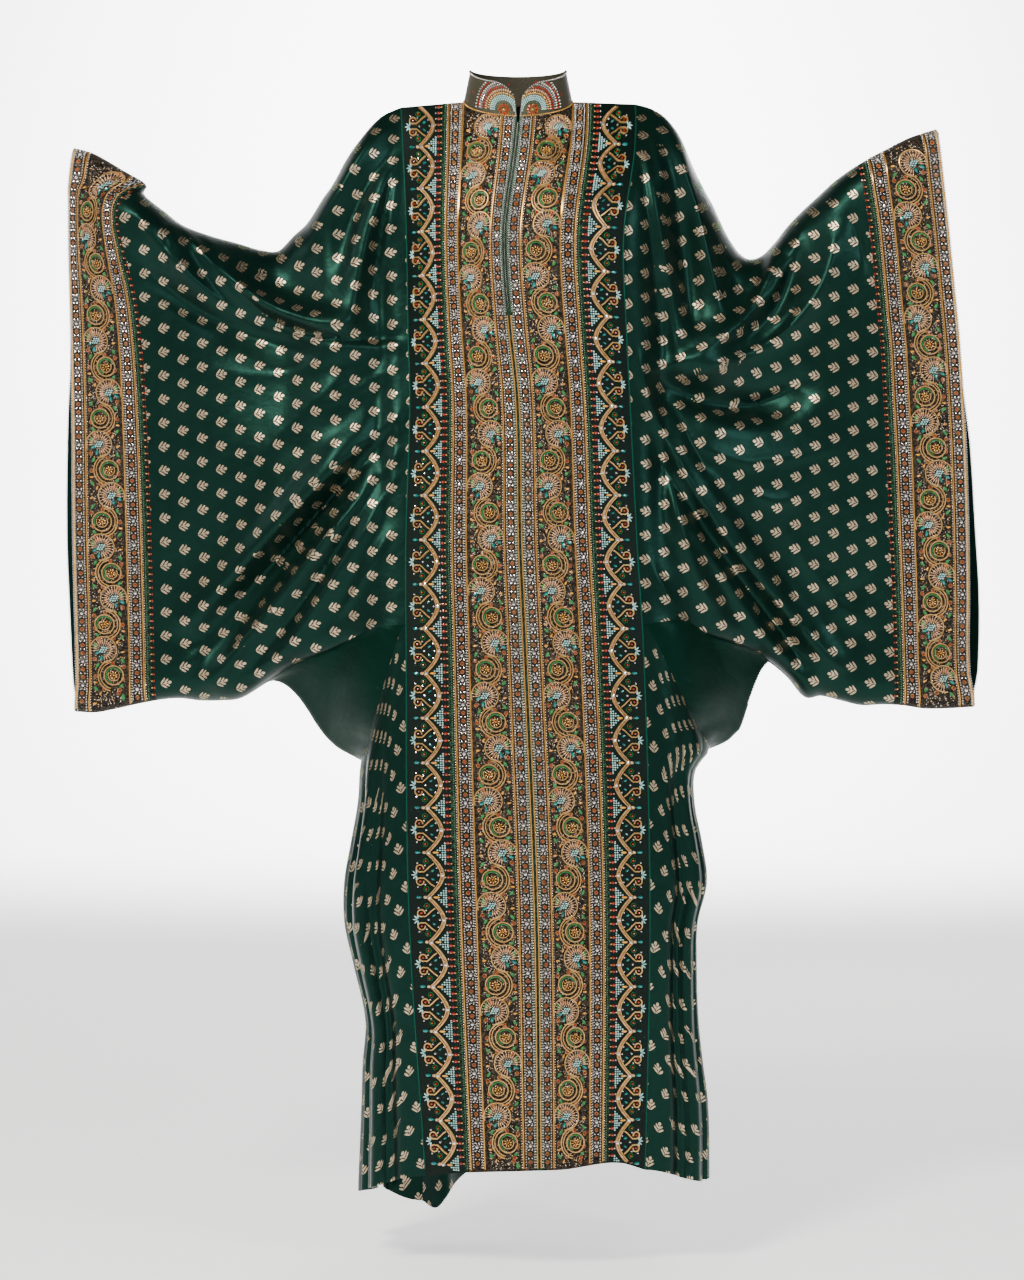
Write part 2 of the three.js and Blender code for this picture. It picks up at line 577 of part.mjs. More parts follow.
// A side gore, round from the strip's edge (0) to the back panel's (1)
function goreSection(side, round, z) {
  const start = { x: seamWidth(side, z, true), y: frontDepth(side.sign, z) };
  const end = { x: seamWidth(side, z, false), y: backDepth(side.sign, z) };
  const bulge = readTable(GORE_OUTLINE, 'z', side.name, z) - (start.x + end.x) / 2;
  const opened = smooth((side.goreTop.z + GORE_FOLD_LEAD - z) / GORE_FOLD_GROWTH);
  let folds = 0;
  for (const fold of GORE_FOLDS[side.name]) {
    folds += fold.height * bell((round - fold.round) / fold.width);
  }
  const seamFade = 1 - (2 * round - 1) ** 8;
  const out = folds * opened * seamFade;
  const arch = 4 * round * (1 - round);
  const facing = Math.cos(Math.PI * round);
  const aside = out * Math.sqrt(1 - facing * facing);
  const x = mix(start.x, end.x, round) + bulge * arch ** GORE_SQUARE + aside;
  const y = mix(start.y, end.y, smooth(round)) - out * facing;
  return { x, y };
}

function gorePoint(side, round, row) {
  const arch = 4 * round * (1 - round);
  const top = mix(ARMHOLE_BOTTOM, side.goreTop.z, arch);
  const hem = readTable(GORE_HEM[side.name], 'round', 'z', round);
  const z = mix(top, hem, row / GORE_ROWS);
  const section = goreSection(side, round, z);
  return new THREE.Vector3(side.sign * section.x, section.y, z);
}

// Grids of points, one for each piece

// A grid of points with rows down or round a piece and columns across it. outward is 1 where
// the rows' direction crossed with the columns' points out of the robe, and -1 otherwise.
function makeGrid(name, rows, columns, outward, place) {
  const points = [];
  for (let i = 0; i <= rows; i += 1) {
    const line = [];
    for (let j = 0; j <= columns; j += 1) line.push(place(i, j));
    points.push(line);
  }
  return { name, rows, columns, outward, points, normals: [], flatCorners: false };
}

function rawNormals(grid) {
  const { rows, columns, points, outward } = grid;
  for (let i = 0; i <= rows; i += 1) {
    const line = [];
    for (let j = 0; j <= columns; j += 1) {
      const down = points[Math.min(i + 1, rows)][j].clone().sub(points[Math.max(i - 1, 0)][j]);
      const across = points[i][Math.min(j + 1, columns)].clone().sub(points[i][Math.max(j - 1, 0)]);
      line.push(down.cross(across).multiplyScalar(outward).normalize());
    }
    grid.normals.push(line);
  }
  if (!grid.flatCorners) return;
  for (const i of [0, rows]) {
    for (const j of [0, columns]) {
      const nearRow = grid.normals[Math.abs(i - 1)][j];
      const nearColumn = grid.normals[i][Math.abs(j - 1)];
      grid.normals[i][j] = nearRow.clone().add(nearColumn).normalize();
    }
  }
}

function isEdge(grid, i, j) {
  return i === 0 || j === 0 || i === grid.rows || j === grid.columns;
}

// Pieces that meet at a seam share one normal at each shared point, so their walls end in parallel
function shareSeamNormals(grids) {
  const shared = new Map();
  const key = (p) => `${Math.round(p.x * 8)}_${Math.round(p.y * 8)}_${Math.round(p.z * 8)}`;
  for (const grid of grids) {
    for (let i = 0; i <= grid.rows; i += 1) {
      for (let j = 0; j <= grid.columns; j += 1) {
        if (!isEdge(grid, i, j)) continue;
        const name = key(grid.points[i][j]);
        if (!shared.has(name)) shared.set(name, new THREE.Vector3());
        shared.get(name).add(grid.normals[i][j]);
      }
    }
  }
  for (const grid of grids) {
    for (let i = 0; i <= grid.rows; i += 1) {
      for (let j = 0; j <= grid.columns; j += 1) {
        if (!isEdge(grid, i, j)) continue;
        grid.normals[i][j] = shared.get(key(grid.points[i][j])).clone().normalize();
      }
    }
  }
}

// The direction that leads one edge point back from its seam, square to the seam and the normal
function stepBack(point, inner, before, after, normal) {
  const along = after.clone().sub(before).normalize();
  const step = inner.clone().sub(point);
  step.addScaledVector(along, -step.dot(along));
  step.addScaledVector(normal, -step.dot(normal));
  return step.normalize();
}

function pullBackEdges(grid) {
  const { rows, columns, points, normals } = grid;
  const moved = points.map((line) => line.map((point) => point.clone()));
  for (let i = 0; i <= rows; i += 1) {
    for (let j = 0; j <= columns; j += 1) {
      const steps = [];
      if (i === 0 || i === rows) {
        const inner = points[i === 0 ? 1 : rows - 1][j];
        const before = points[i][Math.max(j - 1, 0)];
        const after = points[i][Math.min(j + 1, columns)];
        steps.push(stepBack(points[i][j], inner, before, after, normals[i][j]));
      }
      if (j === 0 || j === columns) {
        const inner = points[i][j === 0 ? 1 : columns - 1];
        const before = points[Math.max(i - 1, 0)][j];
        const after = points[Math.min(i + 1, rows)][j];
        steps.push(stepBack(points[i][j], inner, before, after, normals[i][j]));
      }
      if (steps.length === 1) moved[i][j].addScaledVector(steps[0], SEAM / 2);
      if (steps.length === 2) {
        const sharp = Math.max(1 + steps[0].dot(steps[1]), SHARPEST_CORNER);
        moved[i][j].addScaledVector(steps[0].add(steps[1]), SEAM / 2 / sharp);
      }
    }
  }
  grid.points = moved;
}

// A closed wall over a grid. raised gives each outer point's extra height, plain lists the
// columns that the inside keeps below its first row, and cut tells which of the intervals
// between them is open.
function wallGeometry(grid, options = {}) {
  const { rows, columns, points, normals } = grid;
  const half = (options.wall ?? WALL) / 2;
  const raised = options.raised ?? (() => 0);
  const plain = options.plain ?? [...Array(columns + 1).keys()];
  const cut = options.cut ?? (() => false);
  const width = columns + 1;
  const positions = [];
  const faces = [];
  for (const inside of [false, true]) {
    for (let i = 0; i <= rows; i += 1) {
      for (let j = 0; j <= columns; j += 1) {
        const height = inside ? -half : half + raised(i, j);
        const point = points[i][j].clone().addScaledVector(normals[i][j], height);
        positions.push(point.x, point.y, point.z);
      }
    }
  }
  const outer = (i, j) => i * width + j;
  const inner = (i, j) => (rows + 1 + i) * width + j;
  const quad = (a, b, c, d) => faces.push(a, b, c, a, c, d);
  const open = (i, k) => i < 0 || i >= rows || k < 0 || k >= plain.length - 1 || cut(i, k);
  for (let i = 0; i < rows; i += 1) {
    for (let k = 0; k + 1 < plain.length; k += 1) {
      if (cut(i, k)) continue;
      const [from, to] = [plain[k], plain[k + 1]];
      for (let j = from; j < to; j += 1) {
        quad(outer(i, j), outer(i + 1, j), outer(i + 1, j + 1), outer(i, j + 1));
        if (i === 0) faces.push(inner(1, from), inner(0, j), inner(0, j + 1));
        if (i === 0) quad(outer(0, j), outer(0, j + 1), inner(0, j + 1), inner(0, j));
        if (i > 0 && open(i - 1, k)) faces.push(outer(i, j), outer(i, j + 1), inner(i, from));
        if (open(i + 1, k)) faces.push(inner(i + 1, from), outer(i + 1, j + 1), outer(i + 1, j));
      }
      if (i === 0) faces.push(inner(1, from), inner(0, to), inner(1, to));
      else quad(inner(i, from), inner(i, to), inner(i + 1, to), inner(i + 1, from));
      if (i > 0 && open(i - 1, k)) faces.push(outer(i, to), inner(i, to), inner(i, from));
      if (open(i + 1, k)) faces.push(inner(i + 1, from), inner(i + 1, to), outer(i + 1, to));
      if (open(i, k - 1)) quad(outer(i, from), inner(i, from), inner(i + 1, from), outer(i + 1, from));
      if (open(i, k + 1)) quad(outer(i, to), outer(i + 1, to), inner(i + 1, to), inner(i, to));
    }
  }
  return closedGeometry(positions, faces, grid.outward);
}

function closedGeometry(positions, faces, outward) {
  const used = new Map();
  const kept = [];
  const index = [];
  for (let f = 0; f < faces.length; f += 3) {
    const corner = outward > 0 ? [0, 1, 2] : [0, 2, 1];
    for (const c of corner) {
      const vertex = faces[f + c];
      if (!used.has(vertex)) {
        used.set(vertex, kept.length / 3);
        kept.push(positions[3 * vertex], positions[3 * vertex + 1], positions[3 * vertex + 2]);
      }
      index.push(used.get(vertex));
    }
  }
  const geometry = new THREE.BufferGeometry();
  geometry.setAttribute('position', new THREE.Float32BufferAttribute(kept, 3));
  geometry.setIndex(index);
  geometry.computeVertexNormals();
  return geometry;
}

// The pieces

for (const name of ['right', 'left']) {
  SLEEVES[name].name = name;
  SLEEVES[name].folds = FOLDS[name];
  SLEEVES[name].gussetAlong = GUSSET_CELLS / (GUSSET_CELLS + FREE_CELLS);
}

const STRIP_ROWS = UPPER_ROWS + LOWER_ROWS;
const BACK_ROWS = BACK_UPPER_ROWS + GORE_ROWS;
const SLEEVE_ROWS = UPPER_ROWS + BACK_UPPER_ROWS;
const SLEEVE_COLUMNS = GUSSET_CELLS + FREE_CELLS;
const STRIP_LAST = STRIP_PLACES.length - 1;
const BACK_LAST = BACK_PLACES.length - 1;

const onFrontPanel = (i, j) => bodyPoint(STRIP_PLACES[j], i, true);
const onBackPanel = (i, j) => bodyPoint(BACK_PLACES[j], i, false);
const front = makeGrid('front_panel', STRIP_ROWS, STRIP_LAST, 1, onFrontPanel);
const back = makeGrid('back_panel', BACK_ROWS, BACK_LAST, -1, onBackPanel);

function sleeveGrid(side) {
  const stripColumn = side.sign < 0 ? 0 : STRIP_LAST;
  const backColumn = side.sign < 0 ? 0 : BACK_LAST;
  return makeGrid('sleeve', SLEEVE_ROWS, SLEEVE_COLUMNS, -side.sign, (i, j) => {
    const onFront = i <= UPPER_ROWS;
    const row = onFront ? UPPER_ROWS - i : i - UPPER_ROWS;
    if (j === 0 && onFront) return front.points[row][stripColumn].clone();
    if (j === 0) return back.points[row][backColumn].clone();
    const level = onFront ? FRONT_LEVELS[row] : BACK_LEVELS[row];
    const along = j / SLEEVE_COLUMNS;
    const even = onFront ? 1 - row / UPPER_ROWS : 1 - row / BACK_UPPER_ROWS;
    const settled = mix(even, level, smooth(along / SEAM_REACH));
    return sleevePoint(side, along, settled, onFront);
  });
}

// A sleeve is cut as a front and a back, which meet over the arm
function sleeveLayer(side, sleeve, layer, firstRow, rows) {
  const name = `sleeve_${layer}_${side.name}`;
  return makeGrid(name, rows, SLEEVE_COLUMNS, -side.sign, (i, j) => sleeve.points[firstRow + i][j].clone());
}

function cuffGrid(side, sleeve) {
  const last = CUFF_COLUMNS.length - 1;
  return makeGrid(`cuff_band_${side.name}`, SLEEVE_ROWS, last, -side.sign, (i, j) => {
    if (j === 0) return sleeve.points[i][SLEEVE_COLUMNS].clone();
    const onFront = i <= UPPER_ROWS;
    const level = onFront ? FRONT_LEVELS[UPPER_ROWS - i] : BACK_LEVELS[i - UPPER_ROWS];
    return cuffPoint(side, CUFF_COLUMNS[j].across, level, onFront);
  });
}

function goreGrid(side) {
  const stripColumn = side.sign < 0 ? 0 : STRIP_LAST;
  const backColumn = side.sign < 0 ? 0 : BACK_LAST;
  const columns = 2 * GUSSET_CELLS;
  const skip = LOWER_ROWS / GORE_ROWS;
  return makeGrid(`side_gore_${side.name}`, GORE_ROWS, columns, side.sign, (i, j) => {
    if (j === 0) return front.points[UPPER_ROWS + skip * i][stripColumn].clone();
    if (j === columns) return back.points[BACK_UPPER_ROWS + i][backColumn].clone();
    return gorePoint(side, j / columns, i);
  });
}

// A gusset is a square set corner down: from the sleeve's bottom seam to the gore's highest
// middle point, between the sleeve's two bottom edges and the gore's two upper edges.
function gussetGrid(side, sleeve, gore) {
  const n = GUSSET_CELLS;
  const sleeveFront = (k) => sleeve.points[0][n - k];
  const sleeveBack = (k) => sleeve.points[SLEEVE_ROWS][n - k];
  const goreFront = (k) => gore.points[0][k];
  const goreBack = (k) => gore.points[0][2 * n - k];
  const grid = makeGrid(`gusset_${side.name}`, n, n, side.sign, (i, j) => {
    if (j === 0) return sleeveFront(i).clone();
    if (i === 0) return sleeveBack(j).clone();
    if (i === n) return goreFront(j).clone();
    if (j === n) return goreBack(i).clone();
    const [u, v] = [i / n, j / n];
    const point = new THREE.Vector3();
    point.addScaledVector(sleeveFront(i), 1 - v).addScaledVector(goreBack(i), v);
    point.addScaledVector(sleeveBack(j), 1 - u).addScaledVector(goreFront(j), u);
    point.addScaledVector(sleeveFront(0), -(1 - u) * (1 - v)).addScaledVector(sleeveFront(n), -u * (1 - v));
    point.addScaledVector(sleeveBack(n), -(1 - u) * v).addScaledVector(goreFront(n), -u * v);
    const fold = 4 * Math.min(u, v) * (1 - Math.max(u, v));
    point.x += side.sign * side.gussetSag.x * fold ** SAG_OUT_POWER;
    point.z += side.gussetSag.z * fold ** SAG_DOWN_POWER;
    return point;
  });
  grid.flatCorners = true;      // at its ends the two edges leave each other nearly straight
  return grid;
}

// The collar rises from the neck's edge, from its right front tip round the back to the left
function collarGrid() {
  const frontNeck = STRIP_COLUMNS.findIndex((column) => column.across === NECK_POINT_PLACE);
  const backNeck = BACK_COLUMNS.indexOf(NECK_POINT_PLACE);
  const stripMiddle = STRIP_COLUMNS.length;
  const backMiddle = BACK_COLUMNS.length - 1;
  const base = [];
  for (let k = 0; k <= frontNeck; k += 1) base.push(front.points[0][stripMiddle - 1 - k]);
  for (let k = 1 - backNeck; k < backNeck; k += 1) base.push(back.points[0][backMiddle + k]);
  for (let k = frontNeck; k >= 0; k -= 1) base.push(front.points[0][stripMiddle + k]);
  return makeGrid('collar', COLLAR_ROWS, base.length - 1, -1, (i, j) => {
    const foot = base[j];
    const share = 1 - i / COLLAR_ROWS;
    const behind = clamp01(0.5 + (foot.y - NECK_BACKWARD) / (2 * NECK_HALF_DEPTH));
    const fromTip = Math.abs(foot.x) / COLLAR_TIP_ROUND;
    const tip = foot.y < NECK_BACKWARD ? quarterRound(fromTip) : 1;
    const height = mix(COLLAR_FRONT, COLLAR_BACK, behind) * mix(1, tip, COLLAR_TIP_LOSS);
    const lean = share * COLLAR_LEAN;
    const parting = Math.sign(foot.x) * share * COLLAR_GAP * (1 - behind) ** 3;
    const x = foot.x * (1 - lean / NECK_HALF_WIDTH) + parting;
    const inward = 1 - COLLAR_LEAN_DEPTH * lean / NECK_HALF_DEPTH;
    const y = NECK_BACKWARD + (foot.y - NECK_BACKWARD) * inward;
    return new THREE.Vector3(x, y, foot.z + share * height);
  });
}

const right = SLEEVES.right;
const left = SLEEVES.left;
const sides = [right, left].map((side) => {
  const sleeve = sleeveGrid(side);
  const gore = goreGrid(side);
  const silk = [
    sleeveLayer(side, sleeve, 'front', 0, UPPER_ROWS),
    sleeveLayer(side, sleeve, 'back', UPPER_ROWS, BACK_UPPER_ROWS),
    gore,
  ];
  return { side, silk, cuff: cuffGrid(side, sleeve), gusset: gussetGrid(side, sleeve, gore) };
});
const collar = collarGrid();
const grids = [front, back, collar, ...sides.flatMap((one) => [...one.silk, one.cuff, one.gusset])];
grids.forEach(rawNormals);
shareSeamNormals(grids);
grids.forEach(pullBackEdges);

// How high the embroidery stands at a point of the strip's outside; its inside is plain
function stripRelief(i, j, outside = 1) {
  const column = STRIP_COLUMNS.find((one) => one.across === Math.abs(STRIP_PLACES[j]));
  if (i === 0 || outside < 0) return 0;
  const flowerHere = column.flower !== undefined && i % 2 === 0 && (i / 2) % 2 === column.flower;
  return flowerHere ? FLOWER_RELIEF : column.relief;
}

function cuffRelief(i, j) {
  const column = CUFF_COLUMNS[j];
  const bottomSeam = i === 0 || i === SLEEVE_ROWS;
  if (bottomSeam) return 0;
  return column.flower && i % 2 === 0 ? FLOWER_RELIEF : column.relief;
}

// A point over the strip's flat facets: a place across its cut and a row that need not be whole
function onStrip(place, row, height) {
  const i = Math.min(Math.floor(row), STRIP_ROWS - 1);
  let j = 0;
  while (j < STRIP_LAST - 1 && STRIP_PLACES[j + 1] < place) j += 1;
  const down = row - i;
  const across = (place - STRIP_PLACES[j]) / (STRIP_PLACES[j + 1] - STRIP_PLACES[j]);
  const raised = (a, b) => {
    const point = front.points[a][b].clone();
    const fromMiddle = Math.sign(height) * WALL / 2 + stripRelief(a, b, height);
    return point.addScaledVector(front.normals[a][b], fromMiddle);
  };
  const onFacet = (corner) => {
    const value = corner(i, j).multiplyScalar(1 - Math.max(down, across));
    value.addScaledVector(corner(i + 1, j + 1), Math.min(down, across));
    const third = down > across ? corner(i + 1, j) : corner(i, j + 1);
    return value.addScaledVector(third, Math.abs(down - across));
  };
  const normal = onFacet((a, b) => front.normals[a][b].clone()).normalize();
  return { point: onFacet(raised).addScaledVector(normal, height), normal };
}

// A thin piece that lies on another's points, moved out or in by one height
function appliedGrid(name, rows, columns, outward, place) {
  const grid = makeGrid(name, rows, columns, outward, (i, j) => place(i, j).point);
  for (let i = 0; i <= rows; i += 1) {
    const line = [];
    for (let j = 0; j <= columns; j += 1) line.push(place(i, j).normal.clone());
    grid.normals.push(line);
  }
  return grid;
}

function scallopGrid(side) {
  const height = SCALLOP_CLEAR + SCALLOP_WALL / 2;
  const rows = SCALLOP_PERIODS * SCALLOP.length;
  const first = 3.5;
  const last = STRIP_ROWS - 0.25;
  return appliedGrid(`scallop_border_${side.name}`, rows, 1, side.sign, (i, j) => {
    const edge = SCALLOP[i % SCALLOP.length];
    const repeat = Math.floor(i / SCALLOP.length) + edge.repeat;
    const row = mix(first, last, repeat / SCALLOP_PERIODS);
    return onStrip(side.sign * (j === 0 ? SCALLOP_INNER : edge.across), row, height);
  });
}

function tapeGrid() {
  const depth = APPLIED + TAPE_WALL / 2;
  const places = [-TAPE_HALF, -SLIT_HALF, SLIT_HALF, TAPE_HALF];
  return appliedGrid('zip_tape', SLIT_ROWS, places.length - 1, 1, (i, j) => onStrip(places[j], i, -depth));
}

function facingGrid(cuff, side) {
  const depth = WALL / 2 + APPLIED + FACING_WALL / 2;
  const columns = CUFF_PLAIN.filter((column) => column >= FACING_START);
  return appliedGrid(`cuff_facing_${side.name}`, SLEEVE_ROWS, columns.length - 1, cuff.outward, (i, j) => {
    const normal = cuff.normals[i][columns[j]];
    const point = cuff.points[i][columns[j]].clone().addScaledVector(normal, -depth);
    return { point, normal };
  });
}

const COLOURS = {
  silk: { color: '#14493c', roughness: 0.42 },
  satin: { color: '#0a3a30', roughness: 0.35 },
  velvet: { color: '#0a1f1c', roughness: 0.9 },
  embroidery: { color: '#b08a52', roughness: 0.45, metalness: 0.35 },
  border: { color: '#8f7a4e', roughness: 0.5, metalness: 0.3 },
  brocade: { color: '#4a4a38', roughness: 0.6 },
};

function piece(grid, finish, options) {
  const mesh = new THREE.Mesh(wallGeometry(grid, options), new THREE.MeshStandardMaterial(COLOURS[finish]));
  mesh.name = grid.name;
  return mesh;
}

const plainStrip = STRIP_PLACES.map((place, j) => (PLAIN_COLUMNS.includes(Math.abs(place)) ? j : -1));
const keptOnStrip = plainStrip.filter((j) => j >= 0);
const slitInterval = keptOnStrip.length / 2 - 1;

const thobe = new THREE.Group();
thobe.add(piece(front, 'embroidery', {
  raised: stripRelief,
  plain: keptOnStrip,
  cut: (i, k) => k === slitInterval && i < SLIT_ROWS,
}));
thobe.add(piece(back, 'silk'));
thobe.add(piece(collar, 'brocade'));
thobe.add(piece(tapeGrid(), 'velvet', { wall: TAPE_WALL }));
for (const { side, silk, cuff, gusset } of sides) {
  for (const grid of silk) thobe.add(piece(grid, 'silk'));
  thobe.add(piece(gusset, 'satin'));
  thobe.add(piece(cuff, 'embroidery', { raised: cuffRelief, plain: CUFF_PLAIN }));
  thobe.add(piece(facingGrid(cuff, side), 'velvet', { wall: FACING_WALL }));
  thobe.add(piece(scallopGrid(side), 'border', { wall: SCALLOP_WALL }));
}

export default thobe;
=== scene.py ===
"""The looks of a thobe in its worn pose: figured silk, satin, velvet facings, and beaded gold embroidery.

Shapes are worked out in millimetres and put into meshes in metres. The robe's front faces -Y, its
own right side is at -X, and the origin is the middle of the neck. Every surface is a function of
two parameters on a grid. What lies on a panel is mapped onto that panel's own surface.
"""

import math

import bpy
import numpy as np
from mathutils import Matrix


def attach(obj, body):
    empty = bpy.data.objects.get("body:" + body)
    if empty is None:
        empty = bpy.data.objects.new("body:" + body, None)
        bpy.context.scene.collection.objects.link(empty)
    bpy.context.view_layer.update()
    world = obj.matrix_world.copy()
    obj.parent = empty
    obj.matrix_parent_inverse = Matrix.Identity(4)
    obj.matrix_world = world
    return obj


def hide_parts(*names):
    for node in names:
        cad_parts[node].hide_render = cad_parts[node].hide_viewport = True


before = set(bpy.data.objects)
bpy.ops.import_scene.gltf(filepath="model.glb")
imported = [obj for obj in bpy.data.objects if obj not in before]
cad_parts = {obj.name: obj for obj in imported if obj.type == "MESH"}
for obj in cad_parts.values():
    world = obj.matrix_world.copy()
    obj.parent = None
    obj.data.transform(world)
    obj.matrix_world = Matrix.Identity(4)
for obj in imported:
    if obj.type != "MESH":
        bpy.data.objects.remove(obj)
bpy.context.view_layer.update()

# Sizes of the robe, in millimetres
MM = 0.001
WALL = 1.5
INNER_WALL = 1.0         # the facings and the zip's tape, and how far inside they lie
INNER_HEIGHT = -1.75
STRIP_HALF = 152.0
NECK_HALF_WIDTH = 70.0
NECK_HALF_DEPTH = 62.0
NECK_BACKWARD = -5.0
NECK_DROP_FRONT = 29.0
NECK_RISE_BACK = 5.0
NECK_POINT_HEIGHT = 3.0
NECK_POINT_PLACE = 71.0
SHOULDER_ROUND = 170.0
BACK_ROUND = 120.0
ARMHOLE_BOTTOM = -675.0
SLIT_HALF = 1.5
SLIT_BOTTOM = -280.0
COLLAR_FRONT = 46.0
COLLAR_BACK = 38.0
COLLAR_TIP_ROUND = 34.0
COLLAR_TIP_LOSS = 0.65
COLLAR_LEAN = 9.0
COLLAR_LEAN_DEPTH = 0.7
COLLAR_GAP = 4.0
CUFF_EDGE_MEET = 0.06
CUFF_WIDTH = 100.0
HANG_LENGTH = 725.0
GORE_FOLD_LEAD = 100.0
GORE_FOLD_GROWTH = 260.0
GORE_SQUARE = 0.55
FOLD_END = 0.06
LEVEL_LOW = 0.14
LEVEL_MID = 0.5
BOTTOM_ROUND = 0.045
SEAM_REACH = 0.3
CREASE_REACH = 0.06      # share of the sleeve over which a fine crease fades out at a seam
GUSSET_ALONG = 0.75
SAG_OUT_POWER = 1.2
SAG_DOWN_POWER = 2.5

# Steps of the fine grids for one step of the plain solids
ROWS_UPPER, ROWS_LOWER = 20, 20
ROWS_BACK, ROWS_GORE = 12, 10
FINE_FRONT = 7
FINE_BACK = 5
FINE_ACROSS = 6


def table(columns, *rows):
    """Numbers under named columns, one row for each level, section or fold."""
    return {name: np.array(values, float) for name, values in zip(columns.split(), zip(*rows))}


# The body under the sleeves, one row for each level
BODY = table(
    "z middle half front set_back turn lean back back_set",
    (10, 4, 151, 118, 50, 12, -0.07, 92, 30),
    (-60, 1, 147, 123, 52, 20, -0.065, 98, 32),
    (-190, -5, 138, 133, 54, 27, -0.092, 99, 34),
    (-300, -2, 139, 130, 51, 20, -0.06, 96, 35),
    (-385, 1.5, 140, 127, 46, 10, -0.023, 95, 35),
    (-580, 4, 147, 128, 30, 3, -0.01, 112, 34),
    (-700, 8, 150, 132, 22, 0, 0, 121, 34),
    (-1035, 14, 152, 139, 14, 0, 0.055, 160, 45),
    (-1400, 22, 138, 149, 50, 0, 0.036, 200, 60),
)
BACK_HALF = table("z half", (0, 151), (-385, 140), (-700, 150), (-1400, 150))
FRONT_HEM = table(
    "across z", (-1, -1375), (-0.7, -1367), (-0.1, -1361), (0.2, -1360), (0.75, -1355), (1, -1367)
)
BACK_HEM = table(
    "across z", (-1, -1448), (-0.88, -1460), (-0.7, -1428), (-0.45, -1408), (0.3, -1402), (1, -1402)
)
BACK_FOLDS = table(
    "across width height start",
    (-0.62, 0.13, 16, 0), (-0.3, 0.11, -12, 0), (0.05, 0.14, 15, 0), (0.4, 0.12, -13, 0),
    (0.72, 0.1, 12, 0), (-0.78, 0.04, -7, 60), (-0.46, 0.05, -6, 120), (-0.12, 0.035, 6, 40),
    (0.22, 0.045, -7, 160), (0.56, 0.04, 6, 90), (0.86, 0.035, -6, 20),
)

# One sleeve a side: outlines as the front view shows them, distance from the middle and height
SLEEVE_TOP = {
    "right": table(
        "x z", (147, -4), (173, -17), (199, -42), (225, -75), (247, -113), (268, -150), (286, -168),
        (304, -187), (322, -187), (348, -179), (381, -169), (407, -157), (426, -140), (452, -122),
        (478, -107), (504, -94), (530, -78), (547, -69), (570, -63),
    ),
    "left": table(
        "x z", (155, 0), (174, -6), (195, -20), (213, -43), (230, -78), (244, -104), (260, -133),
        (273, -162), (289, -189), (302, -198), (317, -193), (330, -179), (347, -156), (367, -135),
        (386, -118), (408, -99), (432, -83), (452, -72), (477, -60), (503, -48), (523, -42), (545, -36),
    ),
}
SLEEVE_BOTTOM = {
    "right": table(
        "x z", (150, -675), (185, -679), (242, -706), (281, -721), (322, -744), (361, -770), (387, -773),
        (413, -773), (439, -770), (465, -772), (491, -777), (517, -783), (543, -788), (569, -787),
    ),
    "left": table(
        "x z", (158, -675), (217, -672), (240, -686), (274, -697), (316, -715), (350, -742), (373, -769),
        (393, -767), (419, -773), (445, -779), (471, -778), (497, -779), (523, -783), (549, -783),
        (594, -780),
    ),
}
CUFF = {
    "right": table(
        "z seam edge back_edge",
        (-64, 467, 569, 570), (-107, 470, 574, 575), (-119, 496, 575, 576), (-133, 508, 575, 576),
        (-152, 512, 575, 577), (-200, 504, 575, 577), (-259, 490, 574, 578), (-325, 482, 573, 580),
        (-410, 477, 572, 584), (-562, 472, 572, 585), (-680, 470, 570, 580), (-788, 468, 568, 575),
    ),
    "left": table(
        "z seam edge back_edge",
        (-39, 436, 536, 542), (-107, 442, 544, 546), (-151, 449, 549, 550), (-218, 456, 556, 556),
        (-276, 461, 562, 564), (-317, 465, 566, 571), (-389, 469, 571, 580), (-438, 472, 574, 586),
        (-540, 477, 578, 592), (-640, 482, 580, 597), (-720, 485, 580, 596), (-784, 486, 584, 592),
    ),
}
SIDES = {
    "right": {"sign": -1, "shoulder": -4, "gusset_end": 361, "gore_top": -851, "sag": (34, -28)},
    "left": {"sign": 1, "shoulder": 0, "gusset_end": 373, "gore_top": -836, "sag": (40, -34)},
}
SLEEVE_DEPTH = table(
    "x arm radius mid low back_mid back_low seam",
    (150, -5, 46, -62, -92, 78, 84, 0), (185, -3, 50, -56, -84, 80, 80, 0),
    (240, 8, 52, -72, -72, 80, 66, 2), (300, 24, 50, -64, -50, 76, 50, 4),
    (360, 14, 44, -54, -32, 58, 34, 2), (430, -10, 38, -50, -30, 34, 18, -5),
    (510, -34, 32, -52, -36, 8, 0, -16), (600, -48, 28, -56, -42, -8, -14, -26),
)
FRONT_LEVELS = [
    1, 0.992, 0.97, 0.938, 0.89, 0.84, 0.79, 0.73, 0.67, 0.61, 0.55,
    0.49, 0.43, 0.37, 0.31, 0.25, 0.185, 0.12, 0.06, 0.018, 0,
]
BACK_LEVELS = [1, 0.985, 0.94, 0.87, 0.78, 0.69, 0.59, 0.49, 0.39, 0.28, 0.15, 0.04, 0]

